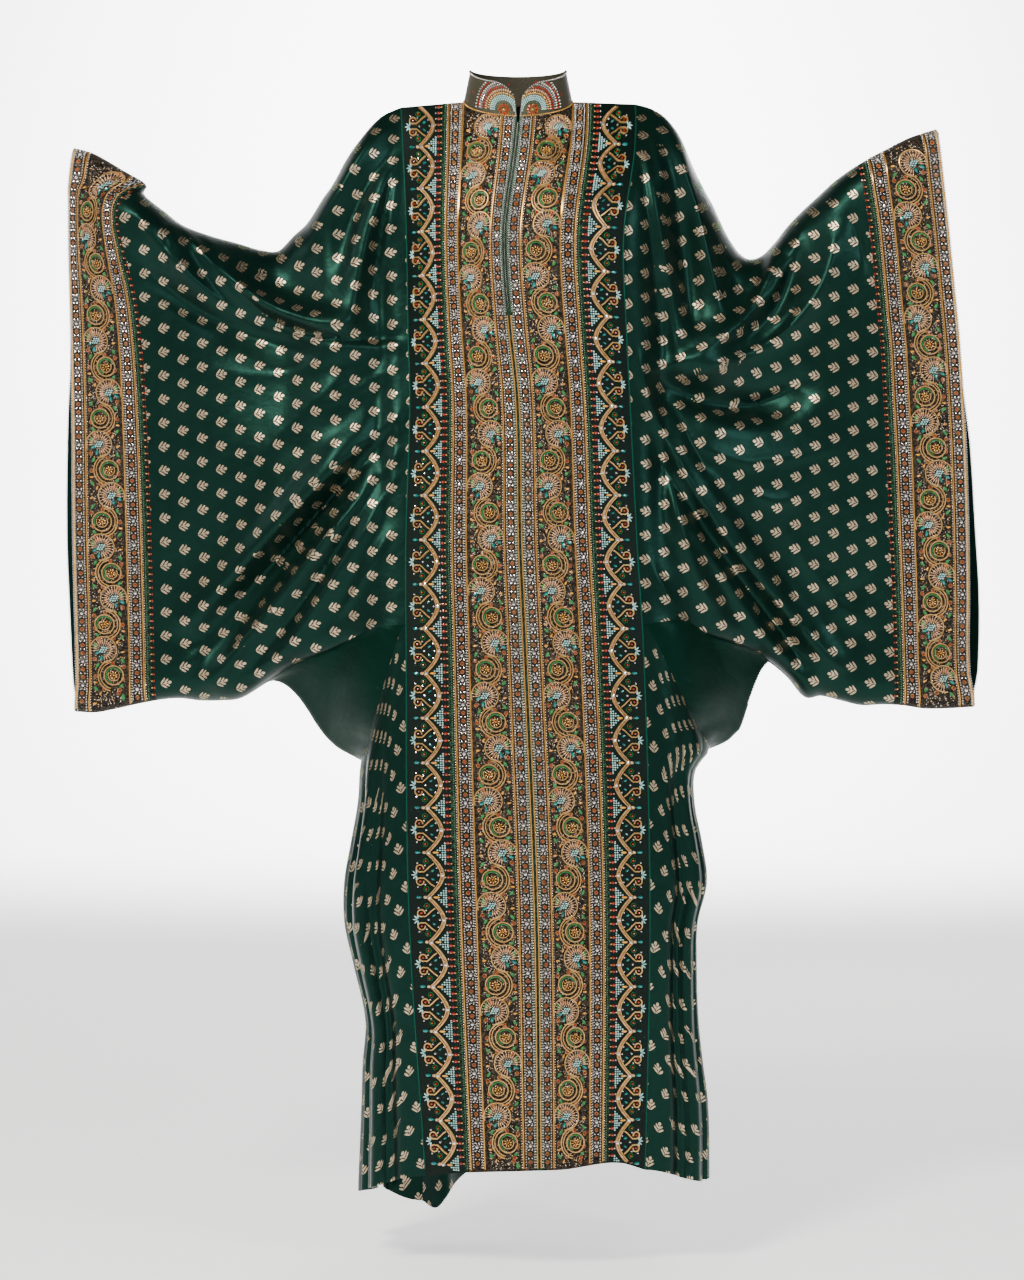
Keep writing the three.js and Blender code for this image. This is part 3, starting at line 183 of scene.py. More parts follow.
# The largest folds: a soft ridge or trough (height below 0) through three places of the front view
FOLD_COLUMNS = "x0 z0 x1 z1 x2 z2 width height"
FOLDS = {
    ("right", True): table(
        FOLD_COLUMNS,
        (164, -20, 222, -88, 268, -170, 20, 9), (160, -60, 195, -165, 217, -285, 16, 12),
        (158, -50, 209, -136, 228, -215, 14, -10), (172, -170, 172, -270, 166, -330, 15, -30),
        (418, -160, 342, -255, 210, -300, 22, 12), (470, -150, 360, -262, 150, -312, 30, 20),
        (425, -175, 330, -288, 160, -300, 15, -18), (480, -230, 400, -280, 290, -325, 24, -12),
        (150, -385, 260, -490, 425, -670, 20, 16), (165, -430, 280, -560, 400, -700, 17, -15),
        (160, -450, 262, -590, 395, -745, 18, 15), (165, -500, 235, -620, 320, -735, 16, 10),
        (168, -330, 172, -440, 160, -560, 16, -24),
    ),
    ("right", False): table(
        FOLD_COLUMNS,
        (165, -30, 225, -120, 262, -250, 24, 10), (175, -120, 195, -260, 200, -400, 22, -12),
        (440, -190, 330, -330, 170, -380, 34, 16), (160, -430, 280, -560, 430, -700, 26, 15),
        (170, -520, 260, -640, 350, -745, 22, -10),
    ),
    ("left", True): table(
        FOLD_COLUMNS,
        (164, -55, 190, -190, 204, -318, 16, 12), (205, -45, 236, -170, 262, -268, 18, 10),
        (182, -60, 212, -190, 226, -290, 14, -10), (333, -190, 290, -290, 168, -345, 26, 20),
        (410, -150, 350, -285, 190, -352, 26, 14), (350, -180, 320, -285, 200, -330, 14, -14),
        (172, -362, 290, -392, 362, -370, 22, -20), (156, -350, 235, -510, 400, -720, 20, 18),
        (200, -470, 290, -610, 370, -720, 16, -14), (196, -480, 222, -580, 262, -680, 18, 13),
        (245, -560, 300, -650, 345, -735, 15, 9), (176, -240, 178, -420, 172, -600, 17, -28),
    ),
    ("left", False): table(
        FOLD_COLUMNS,
        (180, -40, 215, -150, 240, -280, 24, 10), (178, -130, 195, -280, 190, -420, 22, -12),
        (430, -150, 340, -300, 180, -390, 34, 16), (165, -420, 270, -570, 420, -710, 26, 15),
        (180, -520, 255, -640, 330, -735, 22, -10),
    ),
}
# Fine creases: crisp ridges or troughs through three places, thinner than the folds they lie on
CREASES = {
    ("right", True): table(
        FOLD_COLUMNS,
        (161, -33, 201, -70, 264, -173, 6, 4), (149, -70, 184, -144, 214, -284, 6, 6),
        (152, -94, 178, -220, 192, -308, 6, 5), (151, -59, 198, -120, 223, -209, 6, -5),
        (161, -89, 178, -194, 192, -306, 6, -6), (412, -171, 300, -291, 140, -303, 5, -8),
        (452, -132, 350, -246, 202, -308, 6, 8), (487, -152, 335, -287, 140, -316, 7, 8),
        (484, -211, 400, -276, 279, -326, 8, -6), (469, -252, 430, -284, 388, -298, 9, 5),
        (146, -405, 268, -510, 423, -676, 7, 8), (161, -440, 258, -536, 357, -649, 7, -8),
        (152, -428, 300, -590, 430, -731, 7, 8), (182, -493, 290, -596, 378, -706, 7, -7),
        (155, -457, 262, -588, 391, -748, 6, 7), (159, -487, 234, -617, 329, -742, 6, 6),
        (165, -558, 195, -611, 227, -663, 5, 5), (170, -470, 250, -610, 345, -735, 5, -6),
        (230, -330, 300, -350, 380, -348, 10, 4), (200, -345, 270, -395, 340, -470, 9, 4),
        (300, -470, 360, -560, 440, -640, 9, 3), (440, -150, 452, -180, 455, -215, 6, -5),
        (160, -340, 200, -372, 250, -392, 8, 5), (350, -690, 380, -735, 395, -768, 6, 4),
    ),
    ("left", True): table(
        FOLD_COLUMNS,
        (159, -70, 186, -214, 201, -319, 6, 6), (210, -70, 235, -170, 259, -271, 6, 5),
        (172, -48, 178, -80, 184, -110, 6, 4), (156, -96, 170, -190, 175, -278, 6, -6),
        (201, -150, 211, -228, 223, -287, 6, -6), (328, -198, 280, -294, 175, -351, 6, 9),
        (363, -169, 343, -218, 315, -261, 6, 6), (357, -267, 322, -306, 270, -332, 6, -8),
        (405, -182, 352, -290, 214, -357, 7, 8), (318, -196, 312, -222, 300, -246, 6, -6),
        (182, -361, 270, -396, 357, -366, 8, -9), (300, -398, 325, -406, 350, -392, 8, -6),
        (152, -338, 232, -516, 412, -731, 6, 10), (183, -470, 270, -598, 363, -715, 6, -9),
        (193, -487, 208, -560, 242, -649, 6, 7), (225, -558, 272, -630, 327, -715, 6, 7),
        (301, -506, 335, -517, 366, -503, 7, 4), (288, -467, 340, -462, 405, -447, 7, 4),
        (398, -643, 420, -636, 444, -624, 9, -5), (205, -420, 245, -452, 300, -470, 8, 4),
        (430, -156, 440, -186, 446, -216, 6, -6), (185, -380, 215, -430, 240, -478, 6, -5),
        (170, -600, 190, -640, 215, -668, 6, 5), (350, -560, 390, -620, 440, -670, 8, 4),
    ),
    ("right", False): table(
        FOLD_COLUMNS,
        (162, -60, 205, -160, 240, -262, 7, 5), (158, -110, 180, -240, 190, -360, 7, -6),
        (450, -170, 340, -300, 165, -352, 7, 8), (430, -215, 300, -345, 170, -392, 7, -7),
        (152, -405, 260, -520, 430, -668, 7, 7), (158, -460, 262, -580, 400, -715, 7, -7),
        (160, -500, 240, -620, 345, -738, 6, 6), (220, -400, 300, -440, 370, -500, 9, 4),
    ),
    ("left", False): table(
        FOLD_COLUMNS,
        (164, -50, 210, -170, 236, -280, 7, 5), (160, -120, 180, -250, 190, -380, 7, -6),
        (440, -140, 350, -275, 175, -360, 7, 8), (420, -190, 310, -330, 175, -398, 7, -7),
        (156, -400, 250, -530, 415, -690, 7, 7), (160, -455, 250, -600, 385, -730, 7, -7),
        (165, -520, 235, -635, 330, -725, 6, 6), (215, -410, 290, -450, 380, -520, 9, 4),
    ),
}

GORE_OUTLINE = table(
    "z right left",
    (-675, 176, 200), (-790, 192, 232), (-836, 198, 244), (-860, 201, 226), (-903, 202, 222),
    (-955, 209, 230), (-1007, 217, 236), (-1059, 217, 224), (-1111, 206, 223), (-1189, 190, 226),
    (-1241, 194, 232), (-1293, 196, 239), (-1400, 201, 242),
)
GORE_HEM = {
    "right": table(
        "round z", (0, -1375), (0.25, -1396), (0.5, -1414), (0.75, -1416), (0.9, -1434), (1, -1448)
    ),
    "left": table("round z", (0, -1367), (0.12, -1379), (0.5, -1395), (1, -1402)),
}
# Hanging folds of a gore: where round it, width, height at the hem, and how far down each starts
GORE_FOLDS = {
    "right": table(
        "round width height start",
        (0.09, 0.035, -10, 0), (0.19, 0.05, 13, 0), (0.31, 0.04, -13, 0), (0.43, 0.05, 8, 0),
        (0.57, 0.04, -13, 0), (0.68, 0.05, 14, 0), (0.8, 0.04, -13, 0), (0.91, 0.035, 12, 0),
        (0.14, 0.012, -5, 60), (0.245, 0.014, 5, 130), (0.27, 0.01, -4, 20), (0.37, 0.013, 5, 80),
        (0.5, 0.014, 5, 40), (0.62, 0.012, -5, 150), (0.74, 0.013, 5, 90), (0.86, 0.012, -5, 50),
    ),
    "left": table(
        "round width height start",
        (0.1, 0.035, -11, 0), (0.2, 0.045, 14, 0), (0.3, 0.035, -13, 0), (0.42, 0.05, 8, 0),
        (0.56, 0.04, -12, 0), (0.69, 0.05, 13, 0), (0.81, 0.04, -14, 0), (0.91, 0.035, 11, 0),
        (0.15, 0.012, -5, 90), (0.235, 0.012, 5, 30), (0.26, 0.012, -5, 150), (0.36, 0.013, 6, 60),
        (0.49, 0.014, 5, 110), (0.63, 0.012, -5, 40), (0.75, 0.013, 5, 130), (0.86, 0.012, -4, 70),
    ),
}


# Simple mathematics on whole arrays

def mix(a, b, share):
    """A blend from a to b."""
    return a + (b - a) * share


def smooth(share):
    """3t^2 - 2t^3, level at both ends."""
    t = np.clip(share, 0, 1)
    return t * t * (3 - 2 * t)


def ease_out(share):
    """1 - (1 - t)^2, level at its end."""
    return 1 - (1 - np.clip(share, 0, 1)) ** 2


def quarter_round(share):
    """The rise of a quarter circle."""
    return np.sqrt(1 - (1 - np.clip(share, 0, 1)) ** 2)


def read(rows, key, column, at):
    """A column of a table at any key: a cubic with averaged slopes between rows, level past the ends."""
    x, y = rows[key], rows[column]
    if x[0] > x[-1]:
        x, y = x[::-1], y[::-1]
    at = np.clip(np.asarray(at, float), x[0], x[-1])
    slopes = np.diff(y) / np.diff(x)
    tangents = np.concatenate([slopes[:1], (slopes[1:] + slopes[:-1]) / 2, slopes[-1:]])
    i = np.clip(np.searchsorted(x, at, side="right") - 1, 0, len(x) - 2)
    span = x[i + 1] - x[i]
    t = (at - x[i]) / span
    back = 1 - t
    value = y[i] * back * back * (1 + 2 * t) + y[i + 1] * t * t * (3 - 2 * t)
    return value + span * (tangents[i] * t * back * back - tangents[i + 1] * t * t * back)


def fold_height(folds, x, z, crisp):
    """Height of a set of folds: a bell, or for crisp creases exp(-distance), round each bent line."""
    total = np.zeros(np.broadcast(x, z).shape)
    steps = 12
    t = np.linspace(0, 1, steps + 1)
    early, middle, late = (1 - t) * (1 - 2 * t), 4 * t * (1 - t), t * (2 * t - 1)
    for k in range(len(folds["x0"])):
        row = {name: values[k] for name, values in folds.items()}
        line_x = row["x0"] * early + row["x1"] * middle + row["x2"] * late
        line_z = row["z0"] * early + row["z1"] * middle + row["z2"] * late
        nearest = np.full(total.shape, np.inf)
        share = np.zeros(total.shape)
        for s in range(steps):
            dx, dz = line_x[s + 1] - line_x[s], line_z[s + 1] - line_z[s]
            along = np.clip(((x - line_x[s]) * dx + (z - line_z[s]) * dz) / (dx * dx + dz * dz), 0, 1)
            distance = np.hypot(x - line_x[s] - along * dx, z - line_z[s] - along * dz)
            closer = distance < nearest
            nearest = np.where(closer, distance, nearest)
            share = np.where(closer, (s + along) / steps, share)
        fade = np.sqrt(np.sin(np.pi * mix(FOLD_END, 1 - FOLD_END, share)))
        offset = nearest / row["width"]
        profile = np.exp(0.3 - np.sqrt(offset ** 2 + 0.09)) if crisp else np.exp(-(offset ** 2))
        total += row["height"] * fade * profile
    return total


# The robe's body

def stack(x, y, z):
    """Three coordinate arrays as one array of points."""
    return np.stack(np.broadcast_arrays(x, y, z), axis=-1).astype(float)


def top_edge(place, front):
    """Depth and height of the neck's ellipse, or of the shoulder line past it."""
    x = np.where(np.abs(place) < NECK_POINT_PLACE, place * NECK_HALF_WIDTH / NECK_POINT_PLACE, place)
    depth = np.sqrt(np.clip(1 - (x / NECK_HALF_WIDTH) ** 2, 0, 1))
    rise = -NECK_DROP_FRONT * depth if front else NECK_RISE_BACK * depth
    shoulder = np.where(place < 0, SIDES["right"]["shoulder"], SIDES["left"]["shoulder"])
    along = np.clip((np.abs(x) - NECK_HALF_WIDTH) / (STRIP_HALF - NECK_HALF_WIDTH), 0, 1)
    past_neck = mix(NECK_POINT_HEIGHT, shoulder, along)
    z = np.where(np.abs(x) < NECK_HALF_WIDTH, NECK_POINT_HEIGHT + rise, past_neck)
    return x, NECK_BACKWARD + NECK_HALF_DEPTH * depth * (-1 if front else 1), z


def body_share(place, z):
    """The place across the cut as a share of the body, moved by the body's turn."""
    lean = read(BODY, "z", "lean", z)
    side = place / STRIP_HALF
    return np.where(side < 0, lean + side * (1 + lean), lean + side * (1 - lean))


def front_depth(share, z):
    """A parabola across the body, turned a little to one side."""
    forward, set_back = read(BODY, "z", "front", z), read(BODY, "z", "set_back", z)
    return -forward + set_back * share ** 2 - read(BODY, "z", "turn", z) * share


def back_depth(share, z):
    """A parabola across the back with hanging folds that grow to the hem."""
    folds = 0
    for k in range(len(BACK_FOLDS["across"])):
        row = {name: values[k] for name, values in BACK_FOLDS.items()}
        opened = smooth((ARMHOLE_BOTTOM - row["start"] - z) / HANG_LENGTH)
        folds = folds + row["height"] * np.exp(-(((share - row["across"]) / row["width"]) ** 2)) * opened
    depth = read(BODY, "z", "back", z) - read(BODY, "z", "back_set", z) * share ** 2
    return depth + folds * (1 - share ** 8)


def body_at(place, z, front):
    """The body's surface at a place across the cut and a height: the edge's curve eases into the body's."""
    top_x, top_y, top_z = top_edge(place, front)
    share = body_share(place, z) if front else place / STRIP_HALF
    half = read(BODY if front else BACK_HALF, "z", "half", z)
    settled = ease_out((top_z - z) / (SHOULDER_ROUND if front else BACK_ROUND))
    x = mix(top_x, read(BODY, "z", "middle", z) + half * share, settled)
    y = mix(top_y, front_depth(share, z) if front else back_depth(share, z), settled)
    return stack(x, y, z)


def body_grid(places, rows_upper, rows_lower, front):
    """Rows share the height from the top edge to the armhole's bottom, and from there to the hem."""
    _, _, top = top_edge(places, front)
    hem = read(FRONT_HEM if front else BACK_HEM, "across", "z", places / STRIP_HALF)
    upper = mix(top[None, :], ARMHOLE_BOTTOM, np.linspace(0, 1, rows_upper + 1)[:, None])
    lower = mix(ARMHOLE_BOTTOM, hem[None, :], np.linspace(0, 1, rows_lower + 1)[1:, None])
    z = np.vstack([upper, lower])
    return body_at(np.broadcast_to(places, z.shape), z, front)


# A sleeve

def seam_depth(side, z, front):
    """Depth of the seam between the sleeve and the body."""
    below = (side["shoulder"] - z) / (SHOULDER_ROUND if front else BACK_ROUND)
    body = front_depth(side["sign"], z) if front else back_depth(np.float64(side["sign"]), z)
    return mix(NECK_BACKWARD, body, ease_out(below))


def seam_width(side, z, front):
    """Distance of that seam from the middle."""
    half = read(BODY if front else BACK_HALF, "z", "half", z)
    return half + side["sign"] * read(BODY, "z", "middle", z)


def layer_depth(side, name, place, front):
    """Depth of a layer: three levels below the arm, an arc over the arm, folds, and both seams."""
    x, z, level, height, along = place
    away = -1 if front else 1
    arm, radius = read(SLEEVE_DEPTH, "x", "arm", x), read(SLEEVE_DEPTH, "x", "radius", x)
    low = read(SLEEVE_DEPTH, "x", "low" if front else "back_low", x)
    mid = read(SLEEVE_DEPTH, "x", "mid" if front else "back_mid", x)
    arm_level = 1 - radius / height
    under = three_levels(level, arm_level, low, mid, arm + away * radius)
    free = under + away * fold_height(FOLDS[name, front], x, z, False)
    over = np.clip((level - arm_level) / (1 - arm_level), 0, 1)
    cap = np.sqrt(1 - over * over)
    creases = away * fold_height(CREASES[name, front], x, z, True)
    capped = mix(arm, free, cap)
    bottom = mix(seam_depth(side, ARMHOLE_BOTTOM, front), read(SLEEVE_DEPTH, "x", "seam", x),
                 np.clip(along / GUSSET_ALONG, 0, 1))
    hung = mix(bottom, capped, quarter_round(level / BOTTOM_ROUND))
    joined = mix(seam_depth(side, z, front), hung, smooth(along / SEAM_REACH))
    reach = smooth(along / CREASE_REACH) * smooth((1 - along) / CREASE_REACH)
    return joined + creases * cap * reach * smooth(level / (2 * BOTTOM_ROUND))


def three_levels(level, arm_level, low, mid, top):
    """The same cubic as read(), through three keys of which the last varies from place to place."""
    first = (mid - low) / (LEVEL_MID - LEVEL_LOW)
    second = (top - mid) / (arm_level - LEVEL_MID)
    middle = (first + second) / 2
    below = level < LEVEL_MID
    start = np.where(below, LEVEL_LOW, LEVEL_MID)
    span = np.where(below, LEVEL_MID - LEVEL_LOW, arm_level - LEVEL_MID)
    t = np.clip((level - start) / span, 0, 1)
    back = 1 - t
    start_value, end_value = np.where(below, low, mid), np.where(below, mid, top)
    value = start_value * back * back * (1 + 2 * t) + end_value * t * t * (3 - 2 * t)
    from_slope, to_slope = np.where(below, first, middle), np.where(below, middle, second)
    return value + span * (from_slope * t * back * back - to_slope * t * t * back)


def sleeve_at(name, along, level, front):
    """A sleeve from the strip's seam (0) to the cuff's (1), and from its bottom (0) up over the arm (1)."""
    side, cuff = SIDES[name], CUFF[name]
    top_0, bottom_0 = SLEEVE_TOP[name]["x"][0], SLEEVE_BOTTOM[name]["x"][0]
    cuff_top, cuff_bottom, end = cuff["seam"][0], cuff["seam"][-1], side["gusset_end"]
    low_x = np.where(along <= GUSSET_ALONG, mix(bottom_0, end, along / GUSSET_ALONG),
                     mix(end, cuff_bottom, (along - GUSSET_ALONG) / (1 - GUSSET_ALONG)))
    top_x = mix(top_0, cuff_top, along)
    top_z = read(SLEEVE_TOP[name], "x", "z", top_x)
    low_z = read(SLEEVE_BOTTOM[name], "x", "z", low_x)
    z = mix(low_z, top_z, level)
    cuff_bend = read(cuff, "z", "seam", z) - mix(cuff_bottom, cuff_top, level)
    seam_bend = seam_width(side, z, front) - mix(bottom_0, top_0, level)
    x = mix(low_x, top_x, level) + along ** 2 * cuff_bend + (1 - along) ** 2 * seam_bend
    y = layer_depth(side, name, (x, z, level, top_z - low_z, along), front)
    return stack(side["sign"] * x, y, z)


def cuff_at(name, across, level, front):
    """A cuff band from its seam (0) to its free edge (1), at a level of its height."""
    side, cuff = SIDES[name], CUFF[name]
    top_z = read(SLEEVE_TOP[name], "x", "z", mix(cuff["seam"][0], cuff["edge"][0], across))
    low_z = read(SLEEVE_BOTTOM[name], "x", "z", mix(cuff["seam"][-1], cuff["edge"][-1], across))
    z = mix(low_z, top_z, level)
    own = read(cuff, "z", "edge" if front else "back_edge", z)
    other = read(cuff, "z", "back_edge" if front else "edge", z)
    edge = mix((own + other) / 2, own, smooth(level / CUFF_EDGE_MEET))
    x = mix(read(cuff, "z", "seam", z), edge, across)
    along = np.ones(np.broadcast(x, z).shape)
    y = layer_depth(side, name, (x, z, level, top_z - low_z, along), front)
    return stack(side["sign"] * x, y, z)


def levels(front, count):
    """The levels of a layer's rows from the top of the arm down, with steps that narrow at both ends."""
    known = FRONT_LEVELS if front else BACK_LEVELS
    return np.interp(np.linspace(0, len(known) - 1, count + 1), np.arange(len(known)), known)


def sleeve_grid(name):
    """Rows go from the bottom seam up the front, over the arm and down the back."""
    along = np.linspace(0, 1, 16 * FINE_ACROSS + 1)[None, :]
    layers = []
    for front in (True, False):
        count = (ROWS_UPPER if front else ROWS_BACK) * (FINE_FRONT if front else FINE_BACK)
        even = np.linspace(1, 0, count + 1)[:, None]
        settled = mix(even, levels(front, count)[:, None], smooth(along / SEAM_REACH))
        points = sleeve_at(name, np.broadcast_to(along, settled.shape), settled, front)
        place = SIDES[name]["sign"] * STRIP_HALF
        heights = mix(ARMHOLE_BOTTOM, SIDES[name]["shoulder"], even[:, 0])
        seam = body_at(np.full(count + 1, place), heights, front)
        away = (seam - points[:, 0])[:, None, :] * (1 - smooth(along / SEAM_REACH))[..., None]
        layers.append(points + away)
    return np.vstack([layers[0][::-1], layers[1][1:]])


def cuff_grid(name, columns):
    """The cuff band's rows meet the sleeve's at their seam."""
    across = np.linspace(0, 1, columns + 1)[None, :]
    layers = []
    for front in (True, False):
        count = (ROWS_UPPER if front else ROWS_BACK) * (FINE_FRONT if front else FINE_BACK)
        level = levels(front, count)[:, None]
        shape = (count + 1, columns + 1)
        layers.append(cuff_at(name, np.broadcast_to(across, shape), np.broadcast_to(level, shape), front))
    return np.vstack([layers[0][::-1], layers[1][1:]])


# Gores, gussets and the collar

def gore_grid(name):
    """Round from the strip's edge (0) to the back panel's (1): an arch with hanging folds."""
    side = SIDES[name]
    columns = 24 * FINE_ACROSS
    rows = ROWS_GORE * FINE_ACROSS
    around = np.linspace(0, 1, columns + 1)[None, :]
    arch = 4 * around * (1 - around)
    top = mix(ARMHOLE_BOTTOM, side["gore_top"], arch)
    z = mix(top, read(GORE_HEM[name], "round", "z", around), np.linspace(0, 1, rows + 1)[:, None])
    start_x, start_y = seam_width(side, z, True), front_depth(side["sign"], z)
    end_x, end_y = seam_width(side, z, False), back_depth(np.float64(side["sign"]), z)
    bulge = read(GORE_OUTLINE, "z", name, z) - (start_x + end_x) / 2
    folds = np.zeros(z.shape)
    for k in range(len(GORE_FOLDS[name]["round"])):
        row = {column: values[k] for column, values in GORE_FOLDS[name].items()}
        opened = smooth((side["gore_top"] + GORE_FOLD_LEAD - row["start"] - z) / GORE_FOLD_GROWTH)
        folds += row["height"] * np.exp(-(((around - row["round"]) / row["width"]) ** 2)) * opened
    out = folds * (1 - (2 * around - 1) ** 8)
    facing = np.cos(np.pi * around)
    x = mix(start_x, end_x, around) + bulge * arch ** GORE_SQUARE + out * np.sqrt(1 - facing ** 2)
    y = mix(start_y, end_y, smooth(around)) - out * facing
    return stack(side["sign"] * x, y, z)


def gusset_grid(name, sleeve, gore):
    """A square set corner down between four curved edges, with a sag along its fold."""
    side = SIDES[name]
    n = 12 * FINE_ACROSS
    sleeve_front, sleeve_back = sleeve[0, n::-1], sleeve[-1, n::-1]
    gore_front, gore_back = gore[0, : n + 1], gore[0, 2 * n : n - 1 : -1]
    u, v = np.linspace(0, 1, n + 1)[:, None], np.linspace(0, 1, n + 1)[None, :]
    u3, v3 = u[..., None], v[..., None]
    points = sleeve_front[:, None] * (1 - v3) + gore_back[:, None] * v3
    points = points + sleeve_back[None] * (1 - u3) + gore_front[None] * u3
    points -= sleeve_front[0] * (1 - u3) * (1 - v3) + sleeve_front[n] * u3 * (1 - v3)
    points -= sleeve_back[n] * (1 - u3) * v3 + gore_front[n] * u3 * v3
    fold = 4 * np.minimum(u, v) * (1 - np.maximum(u, v))
    points[..., 0] += side["sign"] * side["sag"][0] * fold ** SAG_OUT_POWER
    points[..., 2] += side["sag"][1] * fold ** SAG_DOWN_POWER
    return points


def collar_height(turn):
    """The band's height: less behind, and rounded off at its two front tips."""
    start = math.asin(SLIT_HALF / NECK_HALF_WIDTH)
    angle = mix(start, 2 * math.pi - start, turn)
    from_tip = np.abs(NECK_HALF_WIDTH * np.sin(angle)) / COLLAR_TIP_ROUND
    tip = np.where(np.cos(angle) > 0, quarter_round(from_tip), 1)
    return mix(COLLAR_FRONT, COLLAR_BACK, 0.5 - np.cos(angle) / 2) * mix(1, tip, COLLAR_TIP_LOSS)


def collar_at(turn, share):
    """A band on the neck's ellipse; turn goes from its right front tip (0) round the back to the left (1)."""
    start = math.asin(SLIT_HALF / NECK_HALF_WIDTH)
    angle = mix(start, 2 * math.pi - start, turn)
    depth = np.cos(angle)
    foot_x = -NECK_HALF_WIDTH * np.sin(angle)
    foot_z = NECK_POINT_HEIGHT - np.where(depth > 0, NECK_DROP_FRONT, NECK_RISE_BACK) * depth
    behind = 0.5 - depth / 2
    lean = share * COLLAR_LEAN
    x = foot_x * (1 - lean / NECK_HALF_WIDTH) + np.sign(foot_x) * share * COLLAR_GAP * (1 - behind) ** 3
    y = NECK_BACKWARD - NECK_HALF_DEPTH * depth * (1 - COLLAR_LEAN_DEPTH * lean / NECK_HALF_DEPTH)
    return stack(x, y, foot_z + share * collar_height(turn))


# Meshes

UNFOLD_ROUNDS = 260
UNFOLD_SHARE = 0.16

def normals_of(points, outward):
    """The direction out of a grid: its step down crossed with its step across."""
    cross = np.cross(np.gradient(points, axis=0), np.gradient(points, axis=1)) * outward
    length = np.linalg.norm(cross, axis=-1, keepdims=True)
    return cross / np.maximum(length, 1e-9)


def lengths_of(points):
    """Lengths along the cloth in millimetres: across each row, and down each column."""
    across = np.cumsum(np.linalg.norm(np.diff(points, axis=1), axis=-1), axis=1)
    down = np.cumsum(np.linalg.norm(np.diff(points, axis=0), axis=-1), axis=0)
    return np.pad(across, ((0, 0), (1, 0))), np.pad(down, ((1, 0), (0, 0)))


def on_the_bias(across, up):
    """Cloth coordinates turned to the grain of the body's silk."""
    lean = math.radians(BIAS)
    return across * math.cos(lean) + up * math.sin(lean), up * math.cos(lean) - across * math.sin(lean)


def unfold(points, across, down):
    """Lays a cloth flat: from a first guess, its points are moved until their steps along and across
    and slantwise are as long as on the cloth."""
    flat = np.stack([across, down], axis=-1)
    for _ in range(UNFOLD_ROUNDS):
        shift = np.zeros_like(flat)
        for rows, columns in (((0, -1), (0, None)), ((0, None), (0, -1)), ((0, -1), (0, -1))):
            near = (slice(rows[0], rows[1]), slice(columns[0], columns[1]))
            far = (slice(1, None) if rows[1] else slice(None), slice(1, None) if columns[1] else slice(None))
            length = np.linalg.norm(points[far] - points[near], axis=-1, keepdims=True)
            step = flat[far] - flat[near]
            now = np.maximum(np.linalg.norm(step, axis=-1, keepdims=True), 1e-6)
            pull = step * (1 - length / now) * UNFOLD_SHARE
            shift[near] += pull
            shift[far] -= pull
        flat += shift
    return flat[..., 0], flat[..., 1]


def add_mesh(name, vertices, faces, material, cloth=None, smooth_faces=True, sharp=60):
    """One object at the origin. cloth gives each vertex its place on the cloth, in millimetres."""
    mesh = bpy.data.meshes.new(name)
    mesh.from_pydata((vertices * MM).tolist(), [], [row for part in faces for row in part.tolist()])
    if cloth is not None:
        places = mesh.attributes.new("cloth", "FLOAT_VECTOR", "POINT")
        places.data.foreach_set("vector", cloth.astype(np.float32).ravel())
    mesh.polygons.foreach_set("use_smooth", np.full(len(mesh.polygons), smooth_faces))
    if smooth_faces:
        mesh.set_sharp_from_angle(angle=math.radians(sharp))
    mesh.materials.append(material)
    mesh.update()
    piece = bpy.data.objects.new(name, mesh)
    bpy.context.scene.collection.objects.link(piece)
    return piece


def add_shell(name, points, outward, material, cloth, thickness=WALL, height=0.0, cut=None):
    """A closed wall over a grid: outside and inside half a thickness off it, and a rim along each edge."""
    rows, columns = points.shape[0] - 1, points.shape[1] - 1
    out = normals_of(points, outward)
    outside = points + out * (height + thickness / 2)
    inside = points + out * (height - thickness / 2)
    i, j = np.meshgrid(np.arange(rows), np.arange(columns), indexing="ij")
    kept = np.ones((rows, columns), bool) if cut is None else ~cut
    first = (i * (columns + 1) + j)[kept]
    quads = np.stack([first, first + columns + 1, first + columns + 2, first + 1], axis=1)
    quads = quads if outward > 0 else quads[:, ::-1]
    count = points.shape[0] * points.shape[1]
    start, end = quads.ravel(), np.roll(quads, -1, axis=1).ravel()
    border = ~np.isin(start * count + end, end * count + start)
    start, end = start[border], end[border]
    rim = np.stack([end, start, start + count, end + count], axis=1)
    vertices = np.vstack([outside.reshape(-1, 3), inside.reshape(-1, 3)])
    faces = [quads, quads[:, ::-1] + count, rim]
    flat = np.stack([cloth[0].ravel(), cloth[1].ravel()], axis=1)
    layers = np.vstack([np.pad(flat, ((0, 0), (0, 1))), np.pad(flat, ((0, 0), (0, 1)), constant_values=1)])
    used, renamed = np.unique(np.concatenate([part.ravel() for part in faces]), return_inverse=True)
    sizes = np.cumsum([part.size for part in faces])[:-1]
    faces = [part.reshape(-1, 4) for part in np.split(renamed, sizes)]
    return add_mesh(name, vertices[used], faces, material, layers[used])


# Beads, stones, cords and petals, all drawn flat in millimetres and then laid on a surface

def stone(length, width, height, sides=8, point=0.0, taper=0.0):
    """A domed stone: a ring at its foot, a smaller one higher up and a middle. point sharpens both
    ends by |sin|^point, and taper narrows one of them."""
    turn = np.arange(sides) * 2 * math.pi / sides
    x, y = np.cos(turn), np.sin(turn) * np.abs(np.sin(turn)) ** point
    ring = np.stack([x * length / 2, y * (1 - taper * x) * width / 2, np.zeros(sides)], axis=1)
    upper = ring * 0.62 + [0, 0, height * 0.85]
    vertices = np.vstack([ring - [0, 0, 0.3], upper, [[0, 0, height]]])
    a = np.arange(sides)
    b = (a + 1) % sides
    faces = np.vstack([
        np.stack([a, b, b + sides], axis=1),
        np.stack([a, b + sides, a + sides], axis=1),
        np.stack([a + sides, b + sides, np.full(sides, 2 * sides)], axis=1),
    ])
    return vertices, faces


